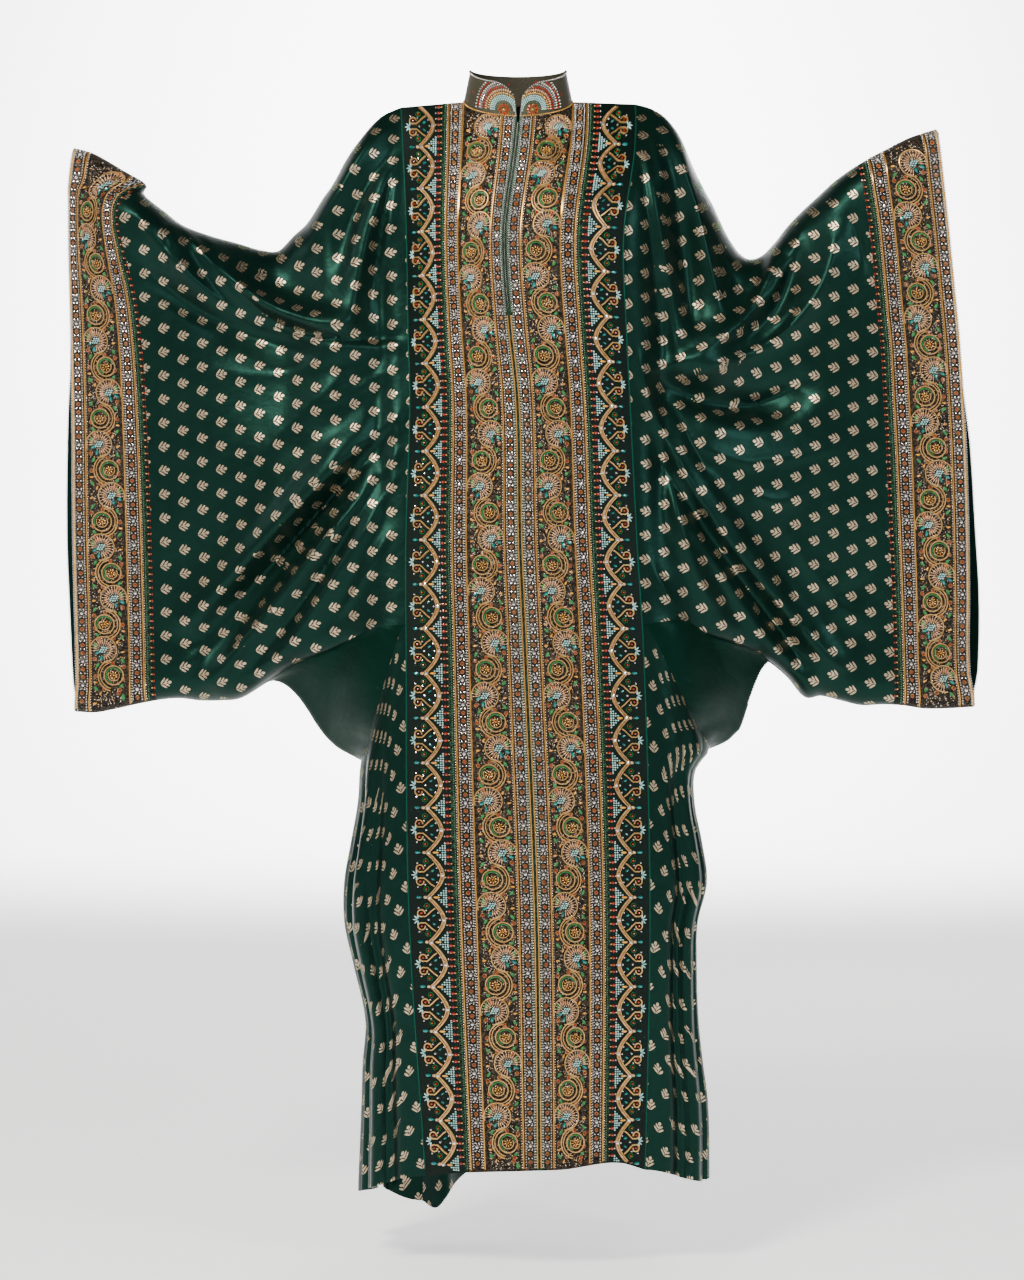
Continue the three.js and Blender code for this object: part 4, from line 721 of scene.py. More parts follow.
def ring(radius, width, height, sides=8):
    """A low ring with a ridge: three circles, at its inner foot, its top and its outer foot."""
    turn = np.arange(sides) * 2 * math.pi / sides
    round_line = np.stack([np.cos(turn), np.sin(turn), np.zeros(sides)], axis=1)
    vertices = np.vstack([
        round_line * (radius + width) - [0, 0, 0.3],
        round_line * (radius + width / 2) + [0, 0, height],
        round_line * radius + [0, 0, 0.1],
    ])
    a = np.arange(sides)
    b = (a + 1) % sides
    bands = []
    for low in (0, sides):
        bands.append(np.stack([a + low, b + low, b + low + sides], axis=1))
        bands.append(np.stack([a + low, b + low + sides, a + low + sides], axis=1))
    return vertices, np.vstack(bands)


def repeat(shape, x, y, angle=0.0, size=1.0):
    """Copies of a flat-drawn shape, turned by angle, scaled by size and moved to each x, y."""
    vertices, faces = shape
    lists = [np.atleast_1d(np.asarray(values, float)) for values in (x, y, angle, size)]
    x, y, angle, size = np.broadcast_arrays(*lists)
    cos, sin = (np.cos(angle) * size)[:, None], (np.sin(angle) * size)[:, None]
    px = vertices[None, :, 0] * cos - vertices[None, :, 1] * sin + x[:, None]
    py = vertices[None, :, 0] * sin + vertices[None, :, 1] * cos + y[:, None]
    pz = np.broadcast_to(vertices[None, :, 2] * size[:, None], px.shape)
    steps = (np.arange(len(x)) * len(vertices))[:, None, None]
    return stack(px, py, pz).reshape(-1, 3), (faces[None] + steps).reshape(-1, 3)


def join(parts):
    """Several drawn shapes as one."""
    vertices, faces, count = [], [], 0
    for part_vertices, part_faces in parts:
        vertices.append(part_vertices)
        faces.append(part_faces + count)
        count += len(part_vertices)
    return np.vstack(vertices), np.vstack(faces)


def walk(line, pitch):
    """Even places along a line of points, and the line's direction at each."""
    step = np.linalg.norm(np.diff(line, axis=0), axis=1)
    length = np.concatenate([[0], np.cumsum(step)])
    at = np.arange(0, length[-1], pitch)

    def places(reached):
        return np.interp(reached, length, line[:, 0]), np.interp(reached, length, line[:, 1])

    x, y = places(at)
    ahead_x, ahead_y = places(at + pitch / 2)
    back_x, back_y = places(at - pitch / 2)
    return x, y, np.arctan2(ahead_y - back_y, ahead_x - back_x)


def rope(line, width, pitch, slant=0.6, height=0.9, sides=6):
    """A twisted cord as the strands that show on top, each a slanted oval."""
    x, y, angle = walk(line, pitch)
    return repeat(stone(width * 1.15, pitch * 1.25, height, sides), x, y, angle + math.pi / 2 - slant)


def wire(line, width, height=0.7):
    """A half-round thread: across each point of the line it has two edges and a flat top."""
    direction = np.gradient(line, axis=0)
    direction /= np.maximum(np.linalg.norm(direction, axis=1, keepdims=True), 1e-9)
    side = np.stack([-direction[:, 1], direction[:, 0]], axis=1) * width / 2
    section = ((-1, -0.2), (-0.55, height), (0.55, height), (1, -0.2))
    rows = [np.column_stack([line + side * s, np.full(len(line), h)]) for s, h in section]
    count = len(line)
    a = np.arange(count - 1)
    faces = []
    for low in (0, count, 2 * count):
        faces.append(np.stack([a + low, a + low + count, a + low + 1], axis=1)[:, ::-1])
        faces.append(np.stack([a + low + 1, a + low + count, a + low + count + 1], axis=1)[:, ::-1])
    return np.vstack(rows), np.vstack(faces)


def arc(x, y, radius, start, end, count=14):
    """Points of a circle from one angle to another, in degrees."""
    turn = np.radians(np.linspace(start, end, count))
    return np.stack([x + radius * np.cos(turn), y + radius * np.sin(turn)], axis=1)


def circle(x, y, radius, turn):
    """Places on a circle round x, y at the given turns."""
    return x + radius * np.cos(turn), y + radius * np.sin(turn)


def lay(drawn, surface):
    """Puts flat-drawn vertices on a surface, seen from outside with x to the right and y upward."""
    vertices, faces = drawn
    a, d = vertices[:, 0], vertices[:, 1]
    point = surface(a, d)
    across = surface(a + 0.5, d) - surface(a - 0.5, d)
    up = surface(a, d + 0.5) - surface(a, d - 0.5)
    out = np.cross(across, up)
    out /= np.maximum(np.linalg.norm(out, axis=1, keepdims=True), 1e-9)
    return point + out * (vertices[:, 2:3] + WALL / 2), faces


# Where the bands of beadwork lie, from the strip's middle outward, in millimetres
ROPES = (2.3, 20.5, 71.0, 89.5)
STONE_BANDS = (11.5, 80.5)
VINE_MIDDLE = 45.5
GREEN_SEEDS = (5.6, 94.4)
RED_TIPS = 103.0
STONE_PITCH = 10.3
VINE_PITCH = 66.0
VINE_SWAY = 7.5
VINE_HALF = 20.0
STRIP_VINE_START = 19.0  # from the upper end of the beadwork to the first flower
CUFF_VINE_START = 30.0
SCALLOP_PITCH = 56.4
SCALLOP_APEX = 110.0
SCALLOP_FOOT = 127.0
SCALLOP_LOW = -1388.0
SCALLOP_HIGH = -4.0
CUFF_OFFSET = 3.0        # a cuff's bands are the strip's from here outward, starting at its free edge
CUFF_LAST = 104.0


def put(drawn, finish, part):
    """Keeps one drawn part with the others of its finish."""
    drawn.setdefault(finish, []).append(part)


def straight(x, low, high, step=8.0):
    """Points of an upright line."""
    count = max(int((high - low) / step), 2)
    return np.stack([np.full(count, x), np.linspace(high, low, count)], axis=1)


def draw_columns(drawn, across, ends, offsets):
    """Upright ropes, seeds, ringed stones and red tips at their distances from the strip's middle."""
    for offset in ROPES:
        if not offsets[0] <= offset <= offsets[1]:
            continue
        x = across(offset)
        low, high = ends(x)
        if offset == ROPES[0]:
            y = np.arange(high, SLIT_BOTTOM - 4, -2.9)
            put(drawn, "green_seeds", repeat(stone(1.6, 1.6, 1.1, 5), across(offset + 0.2), y))
            put(drawn, "silver_beads", repeat(stone(1.6, 1.6, 1.2, 5), across(offset + 1.8), y + 1.4))
            high = SLIT_BOTTOM - 6
        put(drawn, "gold_rope", wire(straight(x, low, high), 1.9, 1.3))
        y = np.arange(high - 1, low, -3.3)
        put(drawn, "rope_beads", repeat(stone(2.3, 1.9, 1.6, 5), across(offset + 1.9), y, 0.5))
    for offset in GREEN_SEEDS:
        if not offsets[0] <= offset <= offsets[1]:
            continue
        x = across(offset)
        low, high = ends(x)
        y = np.arange(high, low, -2.9)
        seed = 1.7 if offset == GREEN_SEEDS[0] else 2.3
        put(drawn, "green_seeds", repeat(stone(seed, seed, 1.1, 5), x, y))
    for offset in STONE_BANDS:
        if not offsets[0] <= offset <= offsets[1]:
            continue
        draw_stones(drawn, across(offset), ends)
    if offsets[1] > RED_TIPS:
        x = across(RED_TIPS)
        low, high = ends(x)
        y = np.arange(high - 4, low, -8.6)
        outward = np.sign(across(RED_TIPS + 1) - x)
        put(drawn, "red_stones", repeat(stone(5.2, 3.8, 1.6, 7), x, y))
        put(drawn, "silver_beads", repeat(stone(2.4, 2.4, 1.2, 5), x + outward * 3.8, y))
        put(drawn, "gold_thread", repeat(stone(3.0, 2.0, 1.0, 5), x - outward * 3.6, y))


def draw_stones(drawn, x, ends):
    """A band of stones: one crystal and two red stones in rings, with small beads along both sides."""
    low, high = ends(x)
    y = np.arange(high - STONE_PITCH / 2, low + 3, -STONE_PITCH)
    crystals = np.arange(len(y)) % 3 == 0
    put(drawn, "crystals", repeat(stone(5.4, 5.4, 2.4, 8), x, y[crystals]))
    for turn in np.radians(np.arange(7) * 360 / 7):
        beads = repeat(stone(1.9, 1.9, 1.3, 5), x + 4.3 * math.cos(turn), y[crystals] + 4.3 * math.sin(turn))
        put(drawn, "silver_beads", beads)
    put(drawn, "red_stones", repeat(stone(3.2, 3.2, 2.0, 7), x, y[~crystals]))
    put(drawn, "gold_thread", repeat(ring(1.5, 1.3, 1.5, 8), x, y[~crystals]))
    between = y[:-1] - STONE_PITCH / 2
    for side in (-1, 1):
        edge = np.arange(high, low, -3.3)
        put(drawn, "silver_beads", repeat(stone(2.2, 2.2, 1.2, 5), x + side * 5.6, edge))
        put(drawn, "crystals", repeat(stone(2.6, 2.6, 1.4, 5), x + side * 2.4, between))


# The beads in a flower's heart, round its middle
FLOWER_HEART = table(
    "x y",
    (0, 0), (2.6, 0), (-2.6, 0), (1.3, 2.3), (-1.3, 2.3), (1.3, -2.3), (-1.3, -2.3), (3.6, 2), (-3.6, -2),
)


def draw_flower(drawn, x, y, turned):
    """A fan flower: petals round three quarters of a circle, a beaded heart and two pointed stones
    in the open quarter, which faces down and to its own side."""
    facing = -50 if turned > 0 else -130
    outer = np.radians(np.linspace(facing + 46, facing + 314, 19))
    inner = np.radians(np.linspace(facing + 50, facing + 310, 12))
    petal = stone(7.6, 1.9, 2.2, 6, 0.2)
    put(drawn, "rose_petals", repeat(petal, *circle(x, y, 10.4, outer), outer))
    put(drawn, "rope_beads", repeat(stone(2.1, 2.1, 2.3, 5), *circle(x, y, 14.8, outer)))
    put(drawn, "silver_petals", repeat(stone(2.6, 1.8, 2.3, 5), *circle(x, y, 6.4, inner), inner))
    put(drawn, "gold_thread", wire(arc(x, y, 16.9, facing + 30, facing + 330, 26), 1.5, 2.2))
    heart_x, heart_y = x + 1.2 * FLOWER_HEART["x"], y + 1.2 * FLOWER_HEART["y"]
    put(drawn, "aqua_beads", repeat(stone(3.1, 2.6, 2.4, 5), heart_x, heart_y, 0.4))
    for side in (-24, 26):
        angle = math.radians(facing + side)
        reach = 8.6 if side < 0 else 11.4
        pointed = stone(8.6, 4.8, 2.8, 8, 0.4)
        put(drawn, "teal_stones", repeat(pointed, *circle(x, y, reach, angle), angle))


def draw_spiral(drawn, x, y, turned):
    """A spiral between two flowers: gold rings, a green arc and a gold heart, and the stem round it."""
    put(drawn, "gold_thread", wire(arc(x, y, 12.2, 0, 360, 26), 1.7, 2.2))
    put(drawn, "gold_thread", wire(arc(x, y, 7.2, 150, 390, 16), 1.2, 2.0))
    put(drawn, "green_thread", wire(arc(x, y, 9.7, 20, 215 if turned > 0 else 250, 18), 1.9, 1.5))
    around = np.radians(np.arange(8) * 360 / 8 + 12)
    put(drawn, "gold_petals", repeat(stone(4.8, 1.8, 2.1, 6, 0.3), *circle(x, y, 3.9, around), around))
    put(drawn, "amber_drops", repeat(stone(2.4, 2.4, 2.4, 6), x, y))
    put(drawn, "red_stones", repeat(stone(3.4, 3.4, 2.2, 6), x + turned * 9.0, y + 8.2))
    for radius, width in ((20.0, 1.6), (16.9, 1.3)):
        start, end = (82, -78) if turned > 0 else (98, 258)
        put(drawn, "gold_thread", wire(arc(x, y, radius, start, end, 20), width, 2.2))


# What fills the ground round each flower of the vine: its place from the flower's height, and its turn
VINE_FILLINGS = {
    "leaves": table(
        "x y turn",
        (-17, -14, 0.9), (15, -20, 2.2), (-15, -47, 2.4), (17, -50, 0.8), (-18, -60, 1.2), (17, 4, 1.9),
    ),
    "reds": table(
        "x y turn",
        (-18.4, -22, 0), (18.6, -12, 0), (17.8, -34, 0), (-17.4, -38, 0), (-4, -17.6, 0), (6, -51, 0),
        (-12, -55.5, 0), (13.4, 14.6, 0),
    ),
    "drops": table("x y turn", (-17.8, -3, 0.2), (18.2, -42, 3.0), (10.8, -56, 1.1)),
}


def fillings(name, x, y, turned, low, high):
    """The places and turns of one kind of filling that lie between a band's two ends."""
    rows = VINE_FILLINGS[name]
    inside = (y + rows["y"] > low + 4) & (y + rows["y"] < high - 4)
    return x + turned * rows["x"][inside], y + rows["y"][inside], rows["turn"][inside]


def draw_vine(drawn, x, ends, phase):
    """A scrolling vine: flowers that sway from side to side, a spiral between each two, and leaves."""
    low, high = ends(x)
    count = int((high - low) / VINE_PITCH) + 3
    for k in range(count):
        y = high - phase - k * VINE_PITCH
        turned = 1 if k % 2 == 0 else -1
        cx = x + turned * VINE_SWAY
        if low + 15 < y < high - 13:
            draw_flower(drawn, cx, y, turned)
        if low + 19 < y - VINE_PITCH / 2 < high - 19:
            draw_spiral(drawn, x - turned * VINE_SWAY * 0.7, y - VINE_PITCH / 2, turned)
        leaf_x, leaf_y, leaf_turn = fillings("leaves", x, y, turned, low, high)
        put(drawn, "green_thread", repeat(stone(8.2, 4.6, 1.7, 8, 0.5), leaf_x, leaf_y, leaf_turn * turned))
        red_x, red_y, _ = fillings("reds", x, y, turned, low, high)
        put(drawn, "red_stones", repeat(stone(3.6, 3.6, 2.1, 6), red_x, red_y))
        put(drawn, "gold_thread", repeat(ring(1.8, 1.2, 1.2, 7), red_x, red_y))
        drop_x, drop_y, drop_turn = fillings("drops", x, y, turned, low, high)
        put(drawn, "amber_drops", repeat(stone(6.0, 2.6, 2.0, 7, 0, 0.5), drop_x, drop_y, drop_turn))


# The finishes of the loose seeds, each with the stretch of 0 to 1 whose draws it takes
LOOSE_SEEDS = (("silver_petals", 0, 0.72), ("gold_thread", 0.72, 0.86), ("rose_petals", 0.86, 1))


def scatter_seeds(drawn, x, half, ends, every, seed):
    """Loose seeds over a band, in silver, gold and rose; every is the ground that one seed has."""
    chance = np.random.default_rng(seed)
    low, high = ends(x)
    count = int(2 * half * (high - low) / every)
    px = chance.uniform(x - half, x + half, count)
    py = chance.uniform(low, high, count)
    angle = chance.uniform(0, math.pi, count)
    share = chance.uniform(0, 1, count)
    for finish, start, end in LOOSE_SEEDS:
        chosen = (share >= start) & (share < end)
        put(drawn, finish, repeat(stone(2.2, 1.3, 0.9, 5), px[chosen], py[chosen], angle[chosen]))


def clear_of_hem(drawn, ends):
    """Leaves out the shapes of a drawing that would hang below the hem, as whole triangles."""
    for finish, parts in drawn.items():
        kept = []
        for vertices, faces in parts:
            low, _ = ends(vertices[:, 0])
            kept.append((vertices, faces[(vertices[:, 1] > low - 1)[faces].all(axis=1)]))
        drawn[finish] = kept


# A curl of the border from its stem's root, measured from the curl's own middle
CURL_STEM = ((-17.0, 6.4), (-12.5, 3.2), (-8.0, -1.4), (-4.4, -4.4))
CURL_MIDDLE = 137.0
CURL_ASIDE = 8.2
CURL_SPRAY = table("x y", (117.0, 9.0), (131.0, 12.0), (140.0, 15.0))


def draw_curl(drawn, arches, across, y, side):
    """One gold curl inside an arch, above or below its middle, with the stones round it."""
    path = np.vstack([CURL_STEM, arc(0, 0, 4.4, -115, 190, 14)]) * [1, side]
    line = np.stack([across(CURL_MIDDLE + path[:, 0]), y + side * CURL_ASIDE + path[:, 1]], axis=1)
    put(arches, "gold_thread", wire(line, 1.8, 1.9))
    put(drawn, "red_stones", repeat(stone(3.4, 3.4, 2.2, 7), across(CURL_MIDDLE), y + side * CURL_ASIDE))
    put(drawn, "green_thread", repeat(ring(2.6, 1.3, 1.4, 8), across(130.0), y + side * 17.6))
    put(drawn, "red_stones", repeat(stone(3.4, 3.4, 2.2, 7), across(130.0), y + side * 17.6))
    pointed = stone(5.6, 3.2, 2.0, 7, 0.3)
    put(drawn, "teal_stones", repeat(pointed, across(122.0), y + side * 5.4, side * 0.5))
    spray_x, spray_y = across(CURL_SPRAY["x"]), y + side * CURL_SPRAY["y"]
    put(drawn, "crystals", repeat(stone(2.8, 2.8, 1.6, 6), spray_x, spray_y))


def draw_scallops(drawn, arches, across, low, high):
    """A border of arches with their feet outward, curls and ringed stones inside and leaf tips."""
    outward = np.sign(across(1.0) - across(0.0))
    count = int((high - low) / SCALLOP_PITCH)
    share = np.linspace(-1, 1, 17)
    reach = np.abs(share) ** 1.7 * (SCALLOP_FOOT - SCALLOP_APEX)
    for k in range(count):
        y = high - (k + 0.5) * SCALLOP_PITCH
        for shift in (-1.9, 1.9):
            arch_x = across(SCALLOP_APEX + shift + reach)
            line = np.stack([arch_x, y + share * SCALLOP_PITCH / 2 * 0.96], axis=1)
            put(arches, "gold_thread", wire(line, 1.5, 1.9))
        line = np.stack([across(SCALLOP_APEX + reach), y + share * SCALLOP_PITCH / 2], axis=1)
        sx, sy, along = walk(line, 2.0)
        put(arches, "rose_petals", repeat(stone(3.0, 1.7, 1.7, 5), sx, sy, along + 0.9))
        foot = y - SCALLOP_PITCH / 2
        crystal = stone(5.6, 5.6, 2.6, 8)
        put(drawn, "crystals", repeat(crystal, across([SCALLOP_APEX, SCALLOP_FOOT - 1]), [y, foot]))
        put(drawn, "rose_petals", repeat(stone(6.0, 4.6, 2.4, 7), across(SCALLOP_FOOT + 4.5), foot))
        drop = stone(8.6, 4.4, 2.4, 8, 0.3, -0.3 * outward)
        put(drawn, "teal_stones", repeat(drop, across(SCALLOP_FOOT + 12), foot))
        put(drawn, "amber_drops", repeat(stone(8.6, 3.2, 2.0, 8, 0.2), across(118.0), foot))
        steps = [(i, j) for i in range(5) for j in range(-4, 5) if abs(j) < 4.8 - i]
        cluster = np.array([(106.6 + 3.0 * i, 2.9 * j) for i, j in steps])
        cluster = cluster[~((np.abs(cluster[:, 1]) < 2.4) & (cluster[:, 0] > 112))]
        bead = stone(2.7, 2.4, 1.6, 5)
        put(drawn, "aqua_beads", repeat(bead, across(cluster[:, 0]), foot + cluster[:, 1]))
        for side in (-1, 1):
            draw_curl(drawn, arches, across, y, side)
        put(drawn, "crystals", repeat(stone(3.2, 3.2, 1.8, 6), across([115.0, 128.5]), [y, y]))
        fan = np.radians(np.array([-84, -44, 0, 44, 84]))
        leaf_x, leaf_y = across(141.0 + 3.9 * np.cos(fan)), y + 4.2 * np.sin(fan)
        put(drawn, "aqua_beads", repeat(stone(7.0, 2.0, 1.8, 6, 0.3), leaf_x, leaf_y, fan * outward))


def strip_ends(x):
    """The lowest and highest places of beadwork on the strip, clear of its hem and of the neck."""
    _, _, top = top_edge(np.float64(x), True)
    return read(FRONT_HEM, "across", "z", x / STRIP_HALF) + 3, top - 1


def strip_surface(x, z):
    """The front strip's own surface."""
    return body_at(x, z, True)


def cuff_surface(name, front):
    """A cuff band's own surface, drawn from the left as seen from outside, with its middle at 0."""
    edge_first = (name == "right") == front
    cuff = CUFF[name]

    def outline(x):
        across = np.clip(0.5 - x / CUFF_WIDTH if edge_first else 0.5 + x / CUFF_WIDTH, 0, 1)
        top = read(SLEEVE_TOP[name], "x", "z", mix(cuff["seam"][0], cuff["edge"][0], across))
        low = read(SLEEVE_BOTTOM[name], "x", "z", mix(cuff["seam"][-1], cuff["edge"][-1], across))
        return across, low, top

    def surface(x, z):
        across, low, top = outline(x)
        return cuff_at(name, across, np.clip((z - low) / (top - low), 0.001, 0.999), front)

    def ends(x):
        _, low, top = outline(x)
        return float(low) + 3, float(top) - 3

    return surface, -1 if edge_first else 1, ends


# Colours and materials

MIX_A, MIX_B, MIX_OUT = 6, 7, 2      # a mix node's sockets for colours


def linear(colour):
    """An sRGB hex value as linear light."""
    channels = [int(colour[i : i + 2], 16) / 255 for i in (1, 3, 5)]
    return (*[c / 12.92 if c <= 0.04045 else ((c + 0.055) / 1.055) ** 2.4 for c in channels], 1.0)


def node(tree, kind, inputs=(), **settings):
    """Adds one node with its settings. An input is a value, or another node's output to link."""
    made = tree.nodes.new("ShaderNode" + kind)
    for name, value in settings.items():
        setattr(made, name, value)
    for socket, value in dict(inputs).items():
        if isinstance(value, bpy.types.NodeSocket):
            tree.links.new(value, made.inputs[socket])
        else:
            made.inputs[socket].default_value = value
    return made


def blend(tree, share, first, second, **settings):
    """A mix of two colours by share: each is a hex value, a constant or another node's output."""
    ends = [linear(colour) if isinstance(colour, str) else colour for colour in (first, second)]
    inputs = {0: share, MIX_A: ends[0], MIX_B: ends[1]}
    return node(tree, "Mix", inputs, data_type="RGBA", **settings).outputs[MIX_OUT]


def figure_out(tree, operation, *values):
    """The output of one step of arithmetic."""
    return node(tree, "Math", dict(enumerate(values)), operation=operation).outputs[0]


def start_material(name, colour, **values):
    """A material whose shader's own sockets hold the colour and the other constant values."""
    made = bpy.data.materials.new(name)
    made.use_nodes = True
    made.diffuse_color = linear(colour)
    shader = made.node_tree.nodes["Principled BSDF"]
    shader.inputs["Base Color"].default_value = linear(colour)
    for socket, value in values.items():
        shader.inputs[socket.replace("_", " ")].default_value = value
    return made, made.node_tree, shader


# The woven sprig, in millimetres from its middle: a round tip, two petals beside it, and two long
# ones from the foot to both sides, almost touching, so that it reads as a small diamond
SPRIG = table(
    "x y turn long wide",
    (0, 5.0, 90, 2.4, 2.0), (-2.7, 1.2, 128, 3.4, 1.2), (2.7, 1.2, 52, 3.4, 1.2),
    (-3.5, -3.3, 133, 4.7, 1.2), (3.5, -3.3, 47, 4.7, 1.2), (0, -0.8, 90, 3.4, 0.8),
)


def sprig_mask(tree, cloth, pitch_x, pitch_y, drop, turn):
    """1 on the woven sprigs: columns pitch_x apart, each drop lower than the last, petals as ovals."""
    place = node(tree, "SeparateXYZ", {0: cloth})
    columns = figure_out(tree, "DIVIDE", place.outputs[0], pitch_x)
    column = figure_out(tree, "FLOOR", columns)
    inside_x = figure_out(tree, "FRACT", columns)
    cell_x = figure_out(tree, "MULTIPLY_ADD", inside_x, pitch_x, -pitch_x / 2)
    lowered = figure_out(tree, "MULTIPLY_ADD", column, drop, place.outputs[1])
    rows = figure_out(tree, "DIVIDE", lowered, pitch_y)
    inside_y = figure_out(tree, "FRACT", rows)
    cell_y = figure_out(tree, "MULTIPLY_ADD", inside_y, pitch_y, -pitch_y / 2)
    cell = node(tree, "CombineXYZ", {0: cell_x, 1: cell_y})
    upright = node(tree, "Mapping", {0: cell.outputs[0], 2: (0, 0, math.radians(turn))}, vector_type="POINT")
    nearest = None
    for k in range(len(SPRIG["x"])):
        row = {name: float(values[k]) for name, values in SPRIG.items()}
        petal = node(tree, "Mapping", {
            0: upright.outputs[0],
            1: (row["x"], row["y"], 0),
            2: (0, 0, math.radians(row["turn"])),
            3: (row["long"], row["wide"], 1),
        }, vector_type="TEXTURE")
        reach = node(tree, "VectorMath", {0: petal.outputs[0]}, operation="LENGTH")
        if nearest is None:
            nearest = reach.outputs["Value"]
        else:
            nearest = figure_out(tree, "MINIMUM", nearest, reach.outputs["Value"])
    edge = {0: nearest, 1: 0.82, 2: 1.12, 3: 1.0, 4: 0.0}
    return node(tree, "MapRange", edge, interpolation_type="SMOOTHSTEP").outputs[0]


def add_weave(tree, shader, cloth, thread, rumple, raised=None):
    """Bump of a woven cloth: a fine grain thread millimetres wide, a soft rumple, and raised figures."""
    grain = node(tree, "TexNoise", {"Vector": cloth, "Scale": 1 / thread, "Detail": 2.0})
    soft = node(tree, "TexNoise", {"Vector": cloth, "Scale": 1 / 38, "Detail": 3.0, "Roughness": 0.55})
    relief = [(soft.outputs[0], 1.0, rumple), (grain.outputs[0], 0.5, 0.25)]
    if raised is not None:
        relief.append((raised, 0.8, 0.35))
    last = None
    for height, strength, distance in relief:
        bump = node(tree, "Bump", {"Height": height, "Strength": strength, "Distance": distance * MM})
        if last is not None:
            tree.links.new(last.outputs[0], bump.inputs["Normal"])
        last = bump
    tree.links.new(last.outputs[0], shader.inputs["Normal"])


def figured_silk(name, pitch_x, pitch_y, drop, turn):
    """Jacquard-woven silk: a dark green satin ground with small sprigs of gold thread, coloured at random
    between a painted lit cream and a painted shaded old gold.
    """
    made, tree, shader = start_material(
        name, "#06180F", Roughness=0.38, Sheen_Weight=0.0, Specular_IOR_Level=0.5
    )
    shader.inputs["Sheen Tint"].default_value = linear("#3F9C80")
    shader.inputs["Specular Tint"].default_value = linear("#5CA896")
    cloth = node(tree, "Attribute", attribute_name="cloth").outputs["Vector"]
    mask = sprig_mask(tree, cloth, pitch_x, pitch_y, drop, turn)
    shade = node(tree, "TexNoise", {"Vector": cloth, "Scale": 1 / 60, "Detail": 2.0})
    ground = blend(tree, shade.outputs[0], "#030E0B", "#081C16")
    # The sprigs' one gold thread as a painted lit cream and a painted shaded old gold, mixed at random in
    # patches about 2 mm across
    thread = node(tree, "TexNoise", {"Vector": cloth, "Scale": 1 / 2.2, "Detail": 1.0})
    sprig_lit_and_shaded = blend(tree, thread.outputs[0], "#7A6650", "#DCC8AA")
    tree.links.new(mask, shader.inputs["Metallic"])
    tree.links.new(blend(tree, mask, ground, sprig_lit_and_shaded), shader.inputs["Base Color"])
    add_weave(tree, shader, cloth, 1.1, 1.5, mask)
    return made


def plain_cloth(name, colour, lit, roughness, sheen, thread=1.0, rumple=1.0):
    """A plain woven or piled cloth whose shade varies a little over the piece."""
    made, tree, shader = start_material(
        name, colour, Roughness=roughness, Sheen_Weight=sheen, Sheen_Roughness=0.4, Specular_IOR_Level=0.2
    )
    shader.inputs["Sheen Tint"].default_value = linear("#3F9C80")
    shader.inputs["Specular Tint"].default_value = linear("#5CA896")
    cloth = node(tree, "Attribute", attribute_name="cloth").outputs["Vector"]
    shade = node(tree, "TexNoise", {"Vector": cloth, "Scale": 1 / 45, "Detail": 3.0})
    tree.links.new(blend(tree, shade.outputs[0], colour, lit), shader.inputs["Base Color"])
    add_weave(tree, shader, cloth, thread, rumple)
    return made


# Ground colours of the beaded bands, by distance from the strip's middle: the filling's own colours, kept
# dark in part as painted shade in the gaps between the beads
BAND_GROUNDS = (
    (0, "#12281C"), (7, "#302A22"), (17, "#442C0E"), (22, "#28221A"), (69, "#442C0E"), (73, "#241C14"),
    (87, "#442C0E"), (92, "#122A1C"), (98, "#03120D"), (STRIP_HALF, "#03120D"),
)


def beaded_ground(name, origin):
    """Silk filled with purl and seed stitches of silver, gold and brown between the larger beads, on band
    colours kept dark in part as painted shade in the gaps between the beads.
    Each stitch is drawn 1.7 mm across, as coarse as it needs to show."""
    made, tree, shader = start_material(name, "#7C6A4F", Roughness=0.55, Specular_IOR_Level=0.12)
    cloth = node(tree, "Attribute", attribute_name="cloth").outputs["Vector"]
    place = node(tree, "SeparateXYZ", {0: cloth})
    distance = figure_out(tree, "ABSOLUTE", figure_out(tree, "ADD", place.outputs[0], origin))
    bands = node(tree, "ValToRGB", {0: figure_out(tree, "DIVIDE", distance, STRIP_HALF)})
    bands.color_ramp.interpolation = "CONSTANT"
    while len(bands.color_ramp.elements) < len(BAND_GROUNDS):
        bands.color_ramp.elements.new(1.0)
    for element, (at, colour) in zip(bands.color_ramp.elements, BAND_GROUNDS):
        element.position = at / STRIP_HALF
        element.color = linear(colour)
    stitch = node(tree, "TexVoronoi", {"Vector": cloth, "Scale": 1 / 1.7, "Randomness": 1.0})
    chosen = node(tree, "SeparateColor", {0: stitch.outputs["Color"]})
    beaded = node(tree, "MapRange", {0: distance, 1: 99.0, 2: 100.0, 3: 1.0, 4: 0.0}).outputs[0]
    bright = node(tree, "MapRange", {0: chosen.outputs[0], 1: 0.35, 2: 1.0, 3: 0.12, 4: 2.6})
    lit = blend(tree, beaded, (1, 1, 1, 1), bright.outputs[0])
    # The band colours, dark in part as painted shade between the beads, times each stitch's own brightness
    product = blend(tree, 1.0, bands.outputs[0], lit, blend_type="MULTIPLY")
    tree.links.new(product, shader.inputs["Base Color"])
    height = figure_out(tree, "MULTIPLY", stitch.outputs["Distance"], beaded)
    bump = node(tree, "Bump", {"Height": height, "Strength": 1.0, "Distance": -0.8 * MM})
    tree.links.new(bump.outputs[0], shader.inputs["Normal"])
    return made


